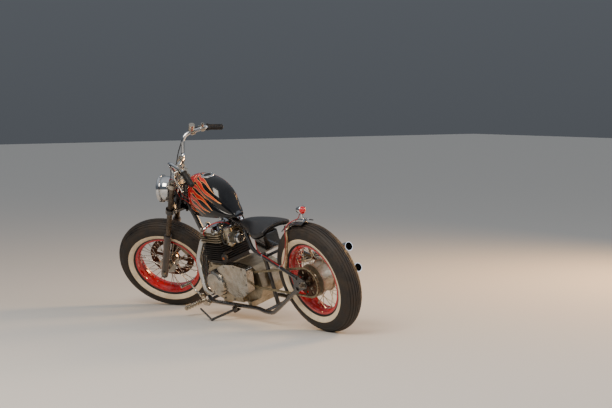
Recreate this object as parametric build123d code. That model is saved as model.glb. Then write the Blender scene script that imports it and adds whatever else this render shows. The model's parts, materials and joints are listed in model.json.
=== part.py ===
from build123d import *

import math
import os

# Bobber motorcycle with a rigid rear frame, leaning on its side stand with the front wheel turned left.
# Units are millimetres and degrees. The bike frame has +X forward, +Y to the rider's left and +Z up,
# with its origin on the ground under the rear axle while the machine stands upright.
# The fork frame has its Z along the steering axis, its X square to it and forward, and its origin on
# the steering axis level with the front axle.

# Stance
WHEELBASE = 1550.0
RAKE = 32.0
AXLE_OFFSET = 70.0
LEAN = 18.0
STEER_STOP = 35.0

# Tyres and rims
TYRE_RADIUS = 341.0
TYRE_SECTION = 66.0
BEAD_RADIUS = 219.0
RIM_HALF_WIDTH = 43.0
RIM_LIP = 4.0
RIM_WELL_RADIUS = 199.0
RIM_WALL = 4.0
SEAT_GAP = 0.3
RUNNING_GAP = 0.05
MOVING_GAP = 6.0

# Hubs, spokes and axles
AXLE_RADIUS = 8.5
SPOKE_RADIUS = 1.9
SPOKE_PAIRS = 20
SPOKE_SPREAD = 3.2
FRONT_FLANGE_RADIUS = 56.0
FRONT_FLANGE_Y = 34.0
HUB_END_Y = 50.0
REAR_FLANGE_RADIUS = 100.0
REAR_FLANGE_Y = 44.0
REAR_DRUM_RADIUS = 92.0
BRAKE_FACE = REAR_FLANGE_Y + 6.0 + 6.0
BRAKE_PLATE_DEPTH = 13.0
TORQUE_ARM_END = (206.0, -108.0)

# Front brake
DISC_RADIUS = 149.0
DISC_INNER_RADIUS = 110.0
DISC_Y = -62.0
DISC_THICKNESS = 5.0
DISC_ARMS = 6

# Chain drive
CHAIN_PITCH = 15.875
REAR_TEETH = 36
GEARBOX_TEETH = 17
CHAIN_Y = 84.0
CHAIN_WIDTH = 14.0
CHAIN_HEIGHT = 14.0
CHAIN_GAP = 1.2
SPROCKET_THICKNESS = 5.5
OUTPUT_SHAFT = (600.0, 310.0)

# Frame tubes
BACKBONE_RADIUS = 20.0
TUNNEL_GAP = 5.0
TANK_MOUNTS = (190.0, 420.0)
DOWNTUBE_RADIUS = 16.0
RAIL_RADIUS = 13.0
STAY_RADIUS = 12.0
HEAD_RADIUS = 29.0
STEM_RADIUS = 14.0
HEAD_LOW = 537.0
HEAD_HIGH = 695.0
AXLE_PLATE_Y = 116.0
AXLE_PLATE_THICKNESS = 8.0

# Fork
LEG_Y = 95.0
STANCHION_RADIUS = 17.5
SLIDER_RADIUS = 23.0
SLIDER_LOW = -42.0
SLIDER_HIGH = 308.0
YOKE_LOW = 494.0
YOKE_HIGH = 701.0
YOKE_THICKNESS = 30.0
LEG_TOP = 742.0
STOP_HALF = 7.0
STOP_INNER = 36.0
STOP_OUTER = 57.0
LUG_HALF = 7.0
STOP_PLAY = 0.6

# Handlebar and its controls
BAR_RADIUS = 12.5
GRIP_RADIUS = 17.0
CLAMP_Q = 62.0
CLAMP_S = 817.0
RISER_Y = 45.0
CAP_X = 876.0
CAP_Z = 950.0

# Headlamp
LAMP_Q = 160.0
LAMP_S = 592.0
LAMP_TILT = -17.0
LAMP_RADIUS = 85.0
LAMP_DEPTH = 112.0

# Engine
CASE_HALF_WIDTH = 108.0
ENGINE_MOUNTS_X = (640.0, 900.0)
COVER_LEFT_Y = 176.0
CYLINDER_X = 868.0
CYLINDER_LOW = 398.0
CYLINDER_HIGH = 545.0
HEAD_TOP = 602.0
FIN_THICKNESS = 3.0
FIN_PITCH = 14.0
FIN_START = 28.0
FIN_LENGTH = 206.0
FIN_WIDTH = 244.0
PORT_START = (60.0, 576.0)
PORT_END = (117.0, 551.0)
PORT_RADIUS = 21.0
INLET_Z = 574.0
INLET_REACH = 112.0
CYLINDER_Y = 62.0

# Exhaust
HEADER_RADIUS = 20.0
MUFFLER_RADIUS = 27.0

# Rear fender
FENDER_RADIUS = 357.0
FENDER_HALF_WIDTH = 77.0
FENDER_CROWN = 20.0
FENDER_WALL = 2.5
FENDER_FROM = 43.0
FENDER_TO = 106.0

# Side stand
STAND_PIVOT = (768.0, 136.0, 116.0)
STAND_FOOT = (814.0, 292.0)
STAND_RADIUS = 8.0
STAND_EYE_RADIUS = 15.0
STAND_EYE_HALF = 9.0
STAND_BOLT_RADIUS = 6.0
STAND_FOLD = 95.0
STAND_TANG_END = (900.0, 292.0, 170.0)


def polar(radius, angle):
    """A point on a circle about the origin, with the angle in degrees."""
    return radius * math.cos(math.radians(angle)), radius * math.sin(math.radians(angle))


def tube(points, radii, radius):
    """A round bar that follows straight runs joined by arcs of the given radii."""
    path = FilletPolyline(*points, radius=radii) if len(points) > 2 else Line(*points)
    return sweep((path ^ 0) * Circle(radius), path)


def bar(start, end, radius, end_radius=None):
    """A straight round bar, or a cone when a second radius is given."""
    a, b = Vector(*start), Vector(*end)
    plane = Plane(origin=a, z_dir=b - a)
    length = (b - a).length
    if end_radius is None:
        return extrude(plane * Circle(radius), length)
    return plane * Pos(0, 0, length / 2) * Cone(radius, end_radius, length)


def across(x, z, radius, low, high):
    """A round bar that lies across the machine, from y = low to y = high."""
    return bar((x, low, z), (x, high, z), radius)


def slab(points, low, high, rounding=0.0):
    """A plate with an outline in x and z, from y = low to y = high."""
    outline = make_face(Polyline(*[(x, z) for x, z in points], close=True))
    if rounding:
        outline = fillet(outline.vertices(), rounding)
    face = Plane(origin=(0, low, 0), x_dir=(1, 0, 0), z_dir=(0, -1, 0)) * outline
    return extrude(face, -(high - low))


def mirrored(shape):
    """The same piece on the other side of the machine."""
    return mirror(shape, Plane.XZ)


def both_sides(shape):
    """A left piece and its right twin, as one node of two solids."""
    return group(shape, mirrored(shape))


def group(*shapes):
    """Solids that don't touch, kept as one node."""
    return Compound([solid for shape in shapes for solid in shape.solids()])


def ring(profile):
    """Turns a closed outline of (radius, y) points about the wheel's axle line."""
    face = make_face(Polyline(*[(r, y) for r, y in profile], close=True))
    return turned(face)


def turned(face):
    """Turns a face drawn with the radius along X and the axle along Y."""
    return revolve(face, Axis.Y)


# Wheels, each in its own frame with the axle along Y through the origin

def tyre():
    crown = TYRE_RADIUS - TYRE_SECTION
    bead_y = RIM_HALF_WIDTH + 1.0
    seat = BEAD_RADIUS + SEAT_GAP
    inner_y = RIM_HALF_WIDTH - RIM_LIP - SEAT_GAP
    floor = BEAD_RADIUS - 10.0 + SEAT_GAP
    wall_mid = ((crown + seat) / 2, TYRE_SECTION - 6.0)
    outline = Wire([
        ThreePointArc((crown, TYRE_SECTION), (TYRE_RADIUS, 0), (crown, -TYRE_SECTION)).edge(),
        ThreePointArc((crown, -TYRE_SECTION), (wall_mid[0], -wall_mid[1]), (seat, -bead_y)).edge(),
        Line((seat, -bead_y), (seat, -inner_y)).edge(),
        Line((seat, -inner_y), (floor, -inner_y)).edge(),
        Line((floor, -inner_y), (floor, inner_y)).edge(),
        Line((floor, inner_y), (seat, inner_y)).edge(),
        Line((seat, inner_y), (seat, bead_y)).edge(),
        ThreePointArc((seat, bead_y), wall_mid, (crown, TYRE_SECTION)).edge(),
    ])
    return turned(make_face(outline))


def rim():
    lip_in = RIM_HALF_WIDTH - RIM_LIP
    bed = BEAD_RADIUS - 10.0
    half = [
        (BEAD_RADIUS, RIM_HALF_WIDTH),
        (BEAD_RADIUS, lip_in),
        (bed, lip_in),
        (bed - 1.0, 22.0),
        (RIM_WELL_RADIUS, 16.0),
    ]
    inner = [
        (RIM_WELL_RADIUS - RIM_WALL, 16.0),
        (bed - 1.0 - RIM_WALL, 26.0),
        (bed - RIM_WALL, RIM_HALF_WIDTH - 2.0),
        (bed - RIM_WALL, RIM_HALF_WIDTH),
    ]
    right = [(r, -y) for r, y in reversed(half)]
    right_inner = [(r, -y) for r, y in reversed(inner)]
    return ring(half + right + right_inner + inner)


def spokes(flange_radius, flange_y, seat_y):
    """Crossed spokes from both hub flanges to the rim's well."""
    well = RIM_WELL_RADIUS - RIM_WALL - SEAT_GAP
    step = 360.0 / SPOKE_PAIRS
    made = []
    for side in (1, -1):
        for number in range(SPOKE_PAIRS):
            lead = 1 if number % 2 else -1
            hub_angle = number * step + (0.0 if side > 0 else step / 2)
            rim_angle = hub_angle + lead * step * 0.9
            near = polar(flange_radius - 4.0, hub_angle)
            far = polar(well, rim_angle)
            hub_y = side * (flange_y + lead * SPOKE_SPREAD)
            start = Vector(near[0], hub_y, near[1])
            run = (Vector(far[0], side * seat_y, far[1]) - start).normalized()
            outward = Vector(*polar(1.0, rim_angle)).dot(Vector(run.X, run.Z))
            short = SPOKE_RADIUS * math.sqrt(1.0 - outward ** 2)
            far = polar(well - short, rim_angle)
            made.append(bar(tuple(start), (far[0], side * seat_y, far[1]), SPOKE_RADIUS))
    return made


def front_hub():
    bore = AXLE_RADIUS + RUNNING_GAP
    barrel = ring([
        (bore, HUB_END_Y), (24.0, HUB_END_Y), (24.0, FRONT_FLANGE_Y + 5.0), (FRONT_FLANGE_RADIUS, FRONT_FLANGE_Y + 5.0),
        (FRONT_FLANGE_RADIUS, FRONT_FLANGE_Y - 5.0), (30.0, FRONT_FLANGE_Y - 12.0), (26.0, 0.0),
        (30.0, -FRONT_FLANGE_Y + 12.0), (FRONT_FLANGE_RADIUS, -FRONT_FLANGE_Y + 5.0),
        (FRONT_FLANGE_RADIUS, -FRONT_FLANGE_Y - 5.0), (44.0, -FRONT_FLANGE_Y - 6.0),
        (44.0, DISC_Y + DISC_THICKNESS / 2), (bore, DISC_Y + DISC_THICKNESS / 2),
    ])
    return barrel.fuse(*spokes(FRONT_FLANGE_RADIUS, FRONT_FLANGE_Y, 6.0))


def front_disc():
    face = Circle(DISC_RADIUS) - Circle(20.0)
    opening = Circle(DISC_INNER_RADIUS - 4.0) - Circle(54.0)
    arm = Rectangle(DISC_RADIUS * 2, 22.0)
    windows = opening
    for number in range(DISC_ARMS // 2):
        windows -= Rot(0, 0, number * 360.0 / DISC_ARMS) * arm
    face -= windows
    for number in range(DISC_ARMS * 4):
        x, y = polar((DISC_RADIUS + DISC_INNER_RADIUS) / 2 + 2.0, (number + 0.5) * 360.0 / (DISC_ARMS * 4))
        face -= Pos(x, y) * Circle(4.5)
    return Plane(origin=(0, DISC_Y - DISC_THICKNESS / 2, 0), z_dir=(0, 1, 0)) * extrude(face, DISC_THICKNESS)


def rear_hub():
    bore = AXLE_RADIUS + RUNNING_GAP
    flange = REAR_FLANGE_RADIUS
    barrel = ring([
        (bore, REAR_FLANGE_Y + 14.0), (54.0, REAR_FLANGE_Y + 14.0), (58.0, REAR_FLANGE_Y + 6.0),
        (flange, REAR_FLANGE_Y + 5.0), (flange, REAR_FLANGE_Y - 5.0), (REAR_DRUM_RADIUS, REAR_FLANGE_Y - 6.0),
        (REAR_DRUM_RADIUS, -REAR_FLANGE_Y + 6.0), (flange, -REAR_FLANGE_Y + 5.0),
        (flange, -REAR_FLANGE_Y - 5.0), (REAR_DRUM_RADIUS - 4.0, -REAR_FLANGE_Y - 6.0),
        (30.0, -REAR_FLANGE_Y - 6.0), (bore, -REAR_FLANGE_Y - 6.0),
    ])
    carrier = ring([
        (bore, REAR_FLANGE_Y + 13.0), (50.0, REAR_FLANGE_Y + 13.0),
        (50.0, CHAIN_Y - SPROCKET_THICKNESS / 2), (bore, CHAIN_Y - SPROCKET_THICKNESS / 2),
    ])
    return barrel.fuse(carrier, *spokes(REAR_FLANGE_RADIUS, REAR_FLANGE_Y, 6.0))


def pitch_radius(teeth):
    return CHAIN_PITCH / 2 / math.sin(math.pi / teeth)


def sprocket_face(teeth):
    """A toothed disc: each tooth is a trapezium between the root and the tip circle."""
    root = pitch_radius(teeth) - 5.2
    tip = pitch_radius(teeth) + 3.4
    step = 360.0 / teeth
    corners = ((root, -0.30), (root + 3.0, -0.19), (tip, -0.08), (tip, 0.08), (root + 3.0, 0.19), (root, 0.30))
    points = [polar(r, (n + share) * step) for n in range(teeth) for r, share in corners]
    return make_face(Polyline(*points, close=True))


def rear_sprocket():
    face = sprocket_face(REAR_TEETH) - Circle(AXLE_RADIUS + 14.0)
    for number in range(8):
        x, y = polar(66.0, number * 45.0 + 22.5)
        face -= Pos(x, y) * Circle(10.5)
        x, y = polar(38.0, number * 45.0)
        face -= Pos(x, y) * Circle(4.2) if number % 2 else Pos(x, y) * Circle(3.0)
    plate = extrude(face, SPROCKET_THICKNESS)
    return Plane(origin=(0, CHAIN_Y + SPROCKET_THICKNESS / 2, 0), z_dir=(0, -1, 0)) * plate


# Frame, in the bike frame

FORK_ORIGIN = Vector(
    WHEELBASE - AXLE_OFFSET * math.cos(math.radians(RAKE)),
    0,
    TYRE_RADIUS - AXLE_OFFSET * math.sin(math.radians(RAKE)),
)
FORK = Pos(*FORK_ORIGIN) * Rot(0, -RAKE, 0)
REAR_AXLE = Pos(0, 0, TYRE_RADIUS)
FRONT_AXLE = Pos(AXLE_OFFSET, 0, 0) * Rot(0, RAKE, 0)


def fork_point(q, y, s):
    """A point of the fork frame, straight ahead, in the bike frame."""
    return tuple((FORK * Pos(q, y, s)).position)


BACKBONE_FRONT = fork_point(0.0, 0.0, HEAD_HIGH - 32.0)
BACKBONE_REAR = (632.0, 0.0, 627.0)
DOWNTUBE_FRONT = fork_point(0.0, 0.0, HEAD_LOW + 24.0)
DOWNTUBE_POINTS = [DOWNTUBE_FRONT, (1135.0, 0.0, 656.0), (1085.0, 0.0, 500.0)]

# Columns: x, y, z of the left rail from the downtube's fork to the axle plate, with the arc at each inner point
RAIL_POINTS = [
    (1090.0, 10.0, 516.0, 0.0),
    (1066.0, 46.0, 420.0, 120.0),
    (1082.0, 70.0, 230.0, 160.0),
    (1114.0, 96.0, 131.0, 52.0),
    (990.0, 103.0, 131.0, 300.0),
    (560.0, 105.0, 131.0, 260.0),
    (480.0, 107.0, 117.0, 90.0),
    (404.0, 109.0, 117.0, 90.0),
    (330.0, 111.0, 156.0, 300.0),
    (70.0, 116.0, 308.0, 0.0),
]
STAY_POINTS = [
    (626.0, 14.0, 630.0, 0.0),
    (566.0, 42.0, 612.0, 90.0),
    (478.0, 84.0, 527.0, 90.0),
    (446.0, 93.0, 510.0, 60.0),
    (50.0, 116.0, 376.0, 0.0),
]


def bent(rows, radius):
    """A tube from a table of x, y, z and bend radius."""
    points = [row[:3] for row in rows]
    radii = [row[3] for row in rows[1:-1]]
    return tube(points, radii, radius)


def fork_bar(s_low, s_high, radius, q=0.0, y=0.0):
    """A round bar along the steering axis, given in the fork frame and returned in the bike frame."""
    return FORK * Pos(q, y, (s_low + s_high) / 2) * Cylinder(radius, s_high - s_low)


def head_tube():
    outer = fork_bar(HEAD_LOW, HEAD_HIGH, HEAD_RADIUS - 3.0)
    cups = [fork_bar(s, s + 16.0, HEAD_RADIUS) for s in (HEAD_LOW, HEAD_HIGH - 16.0)]
    return outer.fuse(*cups)


def head_bore():
    return fork_bar(HEAD_LOW - 1.0, HEAD_HIGH + 1.0, STEM_RADIUS + RUNNING_GAP)


def frame_spine():
    backbone = bar(BACKBONE_FRONT, BACKBONE_REAR, BACKBONE_RADIUS)
    cap = Pos(*BACKBONE_REAR) * Sphere(BACKBONE_RADIUS)
    low = Vector(*DOWNTUBE_POINTS[1])
    gusset = slab([
        (BACKBONE_FRONT[0], BACKBONE_FRONT[2]),
        (DOWNTUBE_FRONT[0], DOWNTUBE_FRONT[2]),
        (low.X, low.Z),
        (1020.0, 808.0),
    ], -3.0, 3.0)
    downtube = tube(DOWNTUBE_POINTS, [400.0], DOWNTUBE_RADIUS)
    stop = FORK * Pos(-(STOP_OUTER + 20.0) / 2, 0, HEAD_LOW - 9.0) * Box(STOP_OUTER - 20.0, 2 * STOP_HALF, 60.0)
    run = (Vector(*BACKBONE_REAR) - Vector(*BACKBONE_FRONT)).normalized()
    collars = []
    for along in TANK_MOUNTS:
        start = Vector(*BACKBONE_FRONT) + run * along
        collars.append(bar(tuple(start), tuple(start + run * 22.0), BACKBONE_RADIUS + TUNNEL_GAP - SEAT_GAP))
    spine = head_tube().fuse(backbone, cap, gusset, downtube, stop, *collars)
    return spine - head_bore() - fork_bar(HEAD_LOW - 60.0, HEAD_LOW, STOP_INNER)


def rail():
    """The left cradle tube and lower rail in one bend."""
    return bent(RAIL_POINTS, RAIL_RADIUS)


def stay():
    """The left upper stay, from the backbone's end to the axle plate."""
    return bent(STAY_POINTS, STAY_RADIUS)


def axle_plate():
    low = AXLE_PLATE_Y - AXLE_PLATE_THICKNESS / 2
    high = AXLE_PLATE_Y + AXLE_PLATE_THICKNESS / 2
    outline = [(-34.0, 341.0), (-18.0, 318.0), (40.0, 300.0), (118.0, 262.0), (112.0, 300.0),
               (96.0, 340.0), (96.0, 372.0), (120.0, 408.0), (40.0, 392.0), (-18.0, 366.0)]
    plate = slab(outline, low, high, 6.0)
    slot = slab([(-16.0, 332.4), (42.0, 332.4), (42.0, 349.6), (-16.0, 349.6)], low - 1, high + 1, 8.0)
    return plate - slot


# Columns: x and z of the cross tubes that join the left and right rails
RAIL_CROSS_TUBES = [(1096.0, 131.0), (488.0, 118.0)]
SEAT_TUBE_POINTS = [(616.0, 0.0, 622.0), (500.0, 0.0, 520.0), (488.0, 0.0, 122.0)]
SEAT_TUBE_RADIUS = 13.0


def frame_rails():
    """Both cradle tubes with the cross tubes welded between them and the stand's clevis."""
    left = rail() - axle_plate()
    cross = [across(x, z, 10.0, -102.0, 102.0) for x, z in RAIL_CROSS_TUBES]
    return left.fuse(mirrored(left), stand_bracket(), *cross) - frame_spine()


def seat_post(radius):
    """The central post from the backbone's end to the rear cross tube."""
    return tube(SEAT_TUBE_POINTS, [120.0], radius)


def frame_stays():
    """Both upper stays with their cross tube, the seat post and the axle plates."""
    left = stay().fuse(axle_plate())
    post = seat_post(SEAT_TUBE_RADIUS)
    cross = across(352.0, 480.0, 9.0, -98.0, 98.0)
    body = left.fuse(mirrored(left), post, cross)
    return body - frame_spine() - frame_rails()


def rear_axle():
    high = AXLE_PLATE_Y + AXLE_PLATE_THICKNESS / 2
    parts = [across(0, 0, AXLE_RADIUS, -high - 30.0, high + 30.0)]
    for side in (1, -1):
        face = side * (high + SEAT_GAP)
        parts.append(hexagon_bar(face, face + side * 5.0, 19.0, True))
        parts.append(hexagon_bar(face + side * 5.0, face + side * 19.0, 15.0, False))
        inner = side * (AXLE_PLATE_Y - AXLE_PLATE_THICKNESS / 2 - SEAT_GAP)
        seat = CHAIN_Y + SPROCKET_THICKNESS / 2 + 3.0 if side > 0 else -(BRAKE_FACE + BRAKE_PLATE_DEPTH + SEAT_GAP)
        parts.append(across(0, 0, 15.0, min(inner, seat), max(inner, seat)))
    return parts[0].fuse(*parts[1:])


def hexagon_bar(start, end, radius, round_shape):
    """A washer or a nut on the axle line, from y = start to y = end."""
    face = Circle(radius) if round_shape else RegularPolygon(radius, 6)
    low, high = min(start, end), max(start, end)
    return Plane(origin=(0, high, 0), z_dir=(0, -1, 0)) * extrude(face, high - low)


def brake_plate():
    """The fixed plate that closes the rear drum on the right, with its torque arm and cam lever."""
    face = -BRAKE_FACE
    bore = AXLE_RADIUS + SEAT_GAP
    disc = ring([(bore, face), (REAR_DRUM_RADIUS - 8.0, face), (REAR_DRUM_RADIUS - 12.0, face - 9.0),
                 (36.0, face - BRAKE_PLATE_DEPTH), (bore, face - BRAKE_PLATE_DEPTH)])
    x, z = TORQUE_ARM_END
    arm = slab([(30.0, -36.0), (48.0, -62.0), (x + 4.0, z - 10.0), (x + 8.0, z + 10.0)], face - 17.0, face - 6.0, 5.0)
    stud = across(x, z, 6.0, -RAIL_POINTS[8][1], face - 8.0) - REAR_AXLE.inverse() * mirrored(bent(RAIL_POINTS, RAIL_RADIUS + SEAT_GAP))
    cam = across(-58.0, 40.0, 8.0, face - 26.0, face - 8.0)
    lever = slab([(-66.0, 32.0), (-50.0, 32.0), (-34.0, 92.0), (-46.0, 94.0)], face - 26.0, face - 21.0, 3.0)
    return disc.fuse(arm, stud, cam, lever)


def chain_loop_points():
    """The chain's centre line as pitch-spaced points, from the two pitch circles and their tangents."""
    big, small = pitch_radius(REAR_TEETH), pitch_radius(GEARBOX_TEETH)
    cx, cz = OUTPUT_SHAFT
    dx, dz = cx, cz - TYRE_RADIUS
    distance = math.hypot(dx, dz)
    slope = math.degrees(math.atan2(dz, dx))
    tilt = math.degrees(math.acos((big - small) / distance))
    return big, small, slope, tilt


def drive_chain():
    big, small, slope, tilt = chain_loop_points()
    cx, cz = OUTPUT_SHAFT

    def outline(offset):
        start = slope + tilt
        wraps = []
        a0 = polar(big + offset, start)
        a1 = polar(big + offset, slope + 180.0)
        a2 = polar(big + offset, slope - tilt)
        b0 = polar(small + offset, slope - tilt)
        b1 = polar(small + offset, slope)
        b2 = polar(small + offset, start)
        rear = [(x, z + TYRE_RADIUS) for x, z in (a0, a1, a2)]
        front = [(x + cx, z + cz) for x, z in (b0, b1, b2)]
        wraps.append(ThreePointArc(*rear).edge())
        wraps.append(Line(rear[2], front[0]).edge())
        wraps.append(ThreePointArc(*front).edge())
        wraps.append(Line(front[2], rear[0]).edge())
        return make_face(Wire(wraps))

    band = outline(CHAIN_HEIGHT / 2) - outline(-CHAIN_HEIGHT / 2)
    solid = extrude(Plane(origin=(0, CHAIN_Y - CHAIN_WIDTH / 2, 0), x_dir=(1, 0, 0), z_dir=(0, -1, 0)) * band, -CHAIN_WIDTH)
    for (x, z), teeth, gap in (((0.0, TYRE_RADIUS), REAR_TEETH, CHAIN_GAP), (OUTPUT_SHAFT, GEARBOX_TEETH, SEAT_GAP)):
        room = SPROCKET_THICKNESS / 2 + gap
        solid -= across(x, z, pitch_radius(teeth) + 5.0, CHAIN_Y - room, CHAIN_Y + room)
    return solid


def gearbox_sprocket():
    x, z = OUTPUT_SHAFT
    plate = extrude(sprocket_face(GEARBOX_TEETH), SPROCKET_THICKNESS)
    plate = Plane(origin=(x, CHAIN_Y + SPROCKET_THICKNESS / 2, z), z_dir=(0, -1, 0)) * plate
    shaft = across(x, z, 16.0, GEARBOX_Y + SEAT_GAP, CHAIN_Y + 8.0)
    return plate.fuse(shaft)


# Engine, in the bike frame

GEARBOX_Y = 66.0
# Columns: x and z of the crankcase's side outline
CASE_OUTLINE = [(1004.0, 250.0), (992.0, 345.0), (948.0, 392.0), (700.0, 397.0), (560.0, 388.0), (512.0, 350.0),
                (508.0, 250.0), (556.0, 180.0), (640.0, 158.0), (880.0, 158.0), (966.0, 182.0)]
SPROCKET_COVER_OUTLINE = [(826.0, 392.0), (744.0, 418.0), (640.0, 424.0), (560.0, 412.0), (512.0, 408.0),
                          (532.0, 318.0), (548.0, 252.0), (620.0, 214.0), (710.0, 206.0), (780.0, 250.0), (800.0, 330.0)]


def crankcase():
    case = slab(CASE_OUTLINE, -CASE_HALF_WIDTH, CASE_HALF_WIDTH, 22.0)
    room = slab([(400.0, 100.0), (690.0, 100.0), (690.0, 500.0), (400.0, 500.0)], GEARBOX_Y, 300.0)
    deck = Pos(CYLINDER_X, 0, 392.0) * Box(196.0, 2 * CASE_HALF_WIDTH - 30.0, 12.0)
    lugs = [slab([(x - 20.0, 166.0), (x + 20.0, 166.0), (x + 14.0, 126.0), (x - 14.0, 126.0)], -100.0, 100.0, 4.0)
            for x in ENGINE_MOUNTS_X]
    sump = Pos(780.0, 0, 152.0) * Box(180.0, 120.0, 24.0)
    seat = bent(RAIL_POINTS, RAIL_RADIUS + SEAT_GAP)
    return (case - room).fuse(deck, sump, *lugs) - seat - mirrored(seat)


def alternator_cover():
    x, z = 866.0, 288.0
    drum = ring([(0.0, 0.0), (88.0, 0.0), (88.0, 20.0), (80.0, 52.0), (70.0, 62.0), (40.0, 67.0), (0.0, 68.0)])
    return Pos(x, CASE_HALF_WIDTH + SEAT_GAP, z) * drum


def sprocket_cover():
    low = CHAIN_Y + CHAIN_WIDTH / 2 + MOVING_GAP
    plate = slab(SPROCKET_COVER_OUTLINE, low, 148.0, 14.0)
    plate -= across(866.0, 288.0, 92.0, 0.0, 300.0)
    case = slab(CASE_OUTLINE, -CASE_HALF_WIDTH, CASE_HALF_WIDTH + SEAT_GAP, 22.0)
    front = slab([(690.0 - SEAT_GAP, 100.0), (1100.0, 100.0), (1100.0, 500.0), (690.0 - SEAT_GAP, 500.0)], 0.0, CASE_HALF_WIDTH + SEAT_GAP)
    plate -= case & front
    return plate


def clutch_cover():
    y = -CASE_HALF_WIDTH - SEAT_GAP
    drum = ring([(0.0, 0.0), (104.0, 0.0), (104.0, -24.0), (94.0, -46.0), (60.0, -54.0), (0.0, -56.0)])
    points = ring([(0.0, 0.0), (52.0, 0.0), (52.0, -40.0), (46.0, -46.0), (0.0, -47.0)])
    return (Pos(700.0, y, 290.0) * drum).fuse(Pos(884.0, y, 290.0) * points,
                                             Pos(790.0, y - 10.0, 290.0) * Box(120.0, 20.0, 90.0))


def cylinder_block():
    height = CYLINDER_HIGH - CYLINDER_LOW
    core = Pos(CYLINDER_X, 0, CYLINDER_LOW + height / 2) * Box(150.0, 190.0, height)
    count = int((height - FIN_START - 8.0) // FIN_PITCH) + 1
    fin = fillet(Rectangle(FIN_LENGTH, FIN_WIDTH).vertices(), 34.0)
    fins = [Pos(CYLINDER_X, 0, CYLINDER_LOW + FIN_START + n * FIN_PITCH) * extrude(fin, FIN_THICKNESS)
            for n in range(count)]
    return core.fuse(*fins)


def port_point(y, share):
    """A point along an exhaust port, from inside the head at 0 to its face at 1."""
    x = PORT_START[0] + (PORT_END[0] - PORT_START[0]) * share
    z = PORT_START[1] + (PORT_END[1] - PORT_START[1]) * share
    return CYLINDER_X + x, y, z


# Columns: x, y, z and bend radius along each header, from the head's port
LEFT_HEADER = [
    (*port_point(CYLINDER_Y, 1.01), 0.0),
    (*port_point(CYLINDER_Y, 1.85), 40.0),
    (1092.0, 92.0, 410.0, 120.0),
    (1082.0, 103.0, 272.0, 120.0),
    (1062.0, 112.0, 184.0, 40.0),
    (1036.0, 40.0, 178.0, 50.0),
    (1026.0, -120.0, 178.0, 50.0),
    (930.0, -196.0, 186.0, 60.0),
    (560.0, -188.0, 184.0, 200.0),
    (330.0, -184.0, 188.0, 0.0),
]
RIGHT_HEADER = [
    (*port_point(-CYLINDER_Y, 1.01), 0.0),
    (*port_point(-CYLINDER_Y, 1.85), 40.0),
    (1088.0, -112.0, 430.0, 90.0),
    (1040.0, -168.0, 340.0, 70.0),
    (930.0, -196.0, 318.0, 90.0),
    (600.0, -188.0, 316.0, 200.0),
    (460.0, -180.0, 336.0, 0.0),
]
UPPER_TIP = (-118.0, -182.0, 474.0)
LOWER_TIP = (-124.0, -204.0, 334.0)


def cylinder_head():
    low = CYLINDER_HIGH + SEAT_GAP
    height = HEAD_TOP - low
    core = Pos(CYLINDER_X, 0, low + height / 2) * Box(160.0, 200.0, height)
    fin = fillet(Rectangle(212.0, 250.0).vertices(), 30.0)
    fins = [Pos(CYLINDER_X, 0, low + 4.0 + n * FIN_PITCH) * extrude(fin, FIN_THICKNESS) for n in range(4)]
    made = [core, *fins]
    for y in (CYLINDER_Y, -CYLINDER_Y):
        made.append(bar(port_point(y, 0.0), port_point(y, 1.0), PORT_RADIUS))
        made.append(bar((CYLINDER_X - 60.0, y, INLET_Z), (CYLINDER_X - INLET_REACH, y, INLET_Z), 24.0))
    return made[0].fuse(*made[1:])


def rocker_cover():
    low = HEAD_TOP + SEAT_GAP
    body = slab([(CYLINDER_X - 92.0, low), (CYLINDER_X + 92.0, low), (CYLINDER_X + 88.0, low + 18.0),
                 (CYLINDER_X + 40.0, low + 38.0), (CYLINDER_X - 40.0, low + 38.0), (CYLINDER_X - 88.0, low + 18.0)],
                -104.0, 104.0, 7.0)
    made = [body]
    for side in (1, -1):
        for x in (58.0, -58.0):
            made.append(across(CYLINDER_X + x, low + 17.0, 19.0, min(side * 100.0, side * 116.0),
                               max(side * 100.0, side * 116.0)))
            made.append(bar((CYLINDER_X + x, side * 58.0, low + 12.0), (CYLINDER_X + x * 1.22, side * 58.0, low + 40.0), 21.0))
    return made[0].fuse(*made[1:])


def carburettor():
    x = CYLINDER_X - INLET_REACH - SEAT_GAP
    y = CYLINDER_Y
    z = INLET_Z
    body = bar((x, y, z), (x - 62.0, y, z), 23.0)
    dome = bar((x - 34.0, y, z), (x - 34.0, y, z + 52.0), 26.0)
    bowl = bar((x - 34.0, y, z), (x - 34.0, y, z - 50.0), 24.0)
    drain = bar((x - 34.0, y, z - 48.0), (x - 34.0, y, z - 62.0), 8.0)
    return body.fuse(dome, bowl, drain)


def air_filter():
    x = CYLINDER_X - INLET_REACH - 62.0 - 2 * SEAT_GAP
    y = CYLINDER_Y
    z = INLET_Z
    neck = bar((x, y, z), (x - 16.0, y, z), 25.0)
    cone = bar((x - 16.0, y, z), (x - 74.0, y, z), 37.0, 31.0)
    lid = bar((x - 74.0, y, z), (x - 82.0, y, z), 31.0)
    return neck.fuse(cone, lid)


def horn():
    x, y, z = 744.0, 112.0, 454.0
    disc = Pos(x, y, z) * ring([(0.0, 0.0), (20.0, 0.0), (27.0, 7.0), (28.0, 12.0), (25.0, 16.0), (10.0, 20.0), (0.0, 20.0)])
    bracket = slab([(x - 7.0, z - 12.0), (x + 7.0, z - 12.0), (x + 7.0, z + 34.0), (x - 7.0, z + 34.0)], y - 4.0, y + 1.0)
    fin_edge = CYLINDER_X - FIN_LENGTH / 2 - SEAT_GAP
    arm = slab([(x - 7.0, z + 22.0), (fin_edge, z + 22.0), (fin_edge, z + 30.0), (x - 7.0, z + 30.0)], 60.0, y - 1.0)
    return disc.fuse(bracket, arm)


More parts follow.
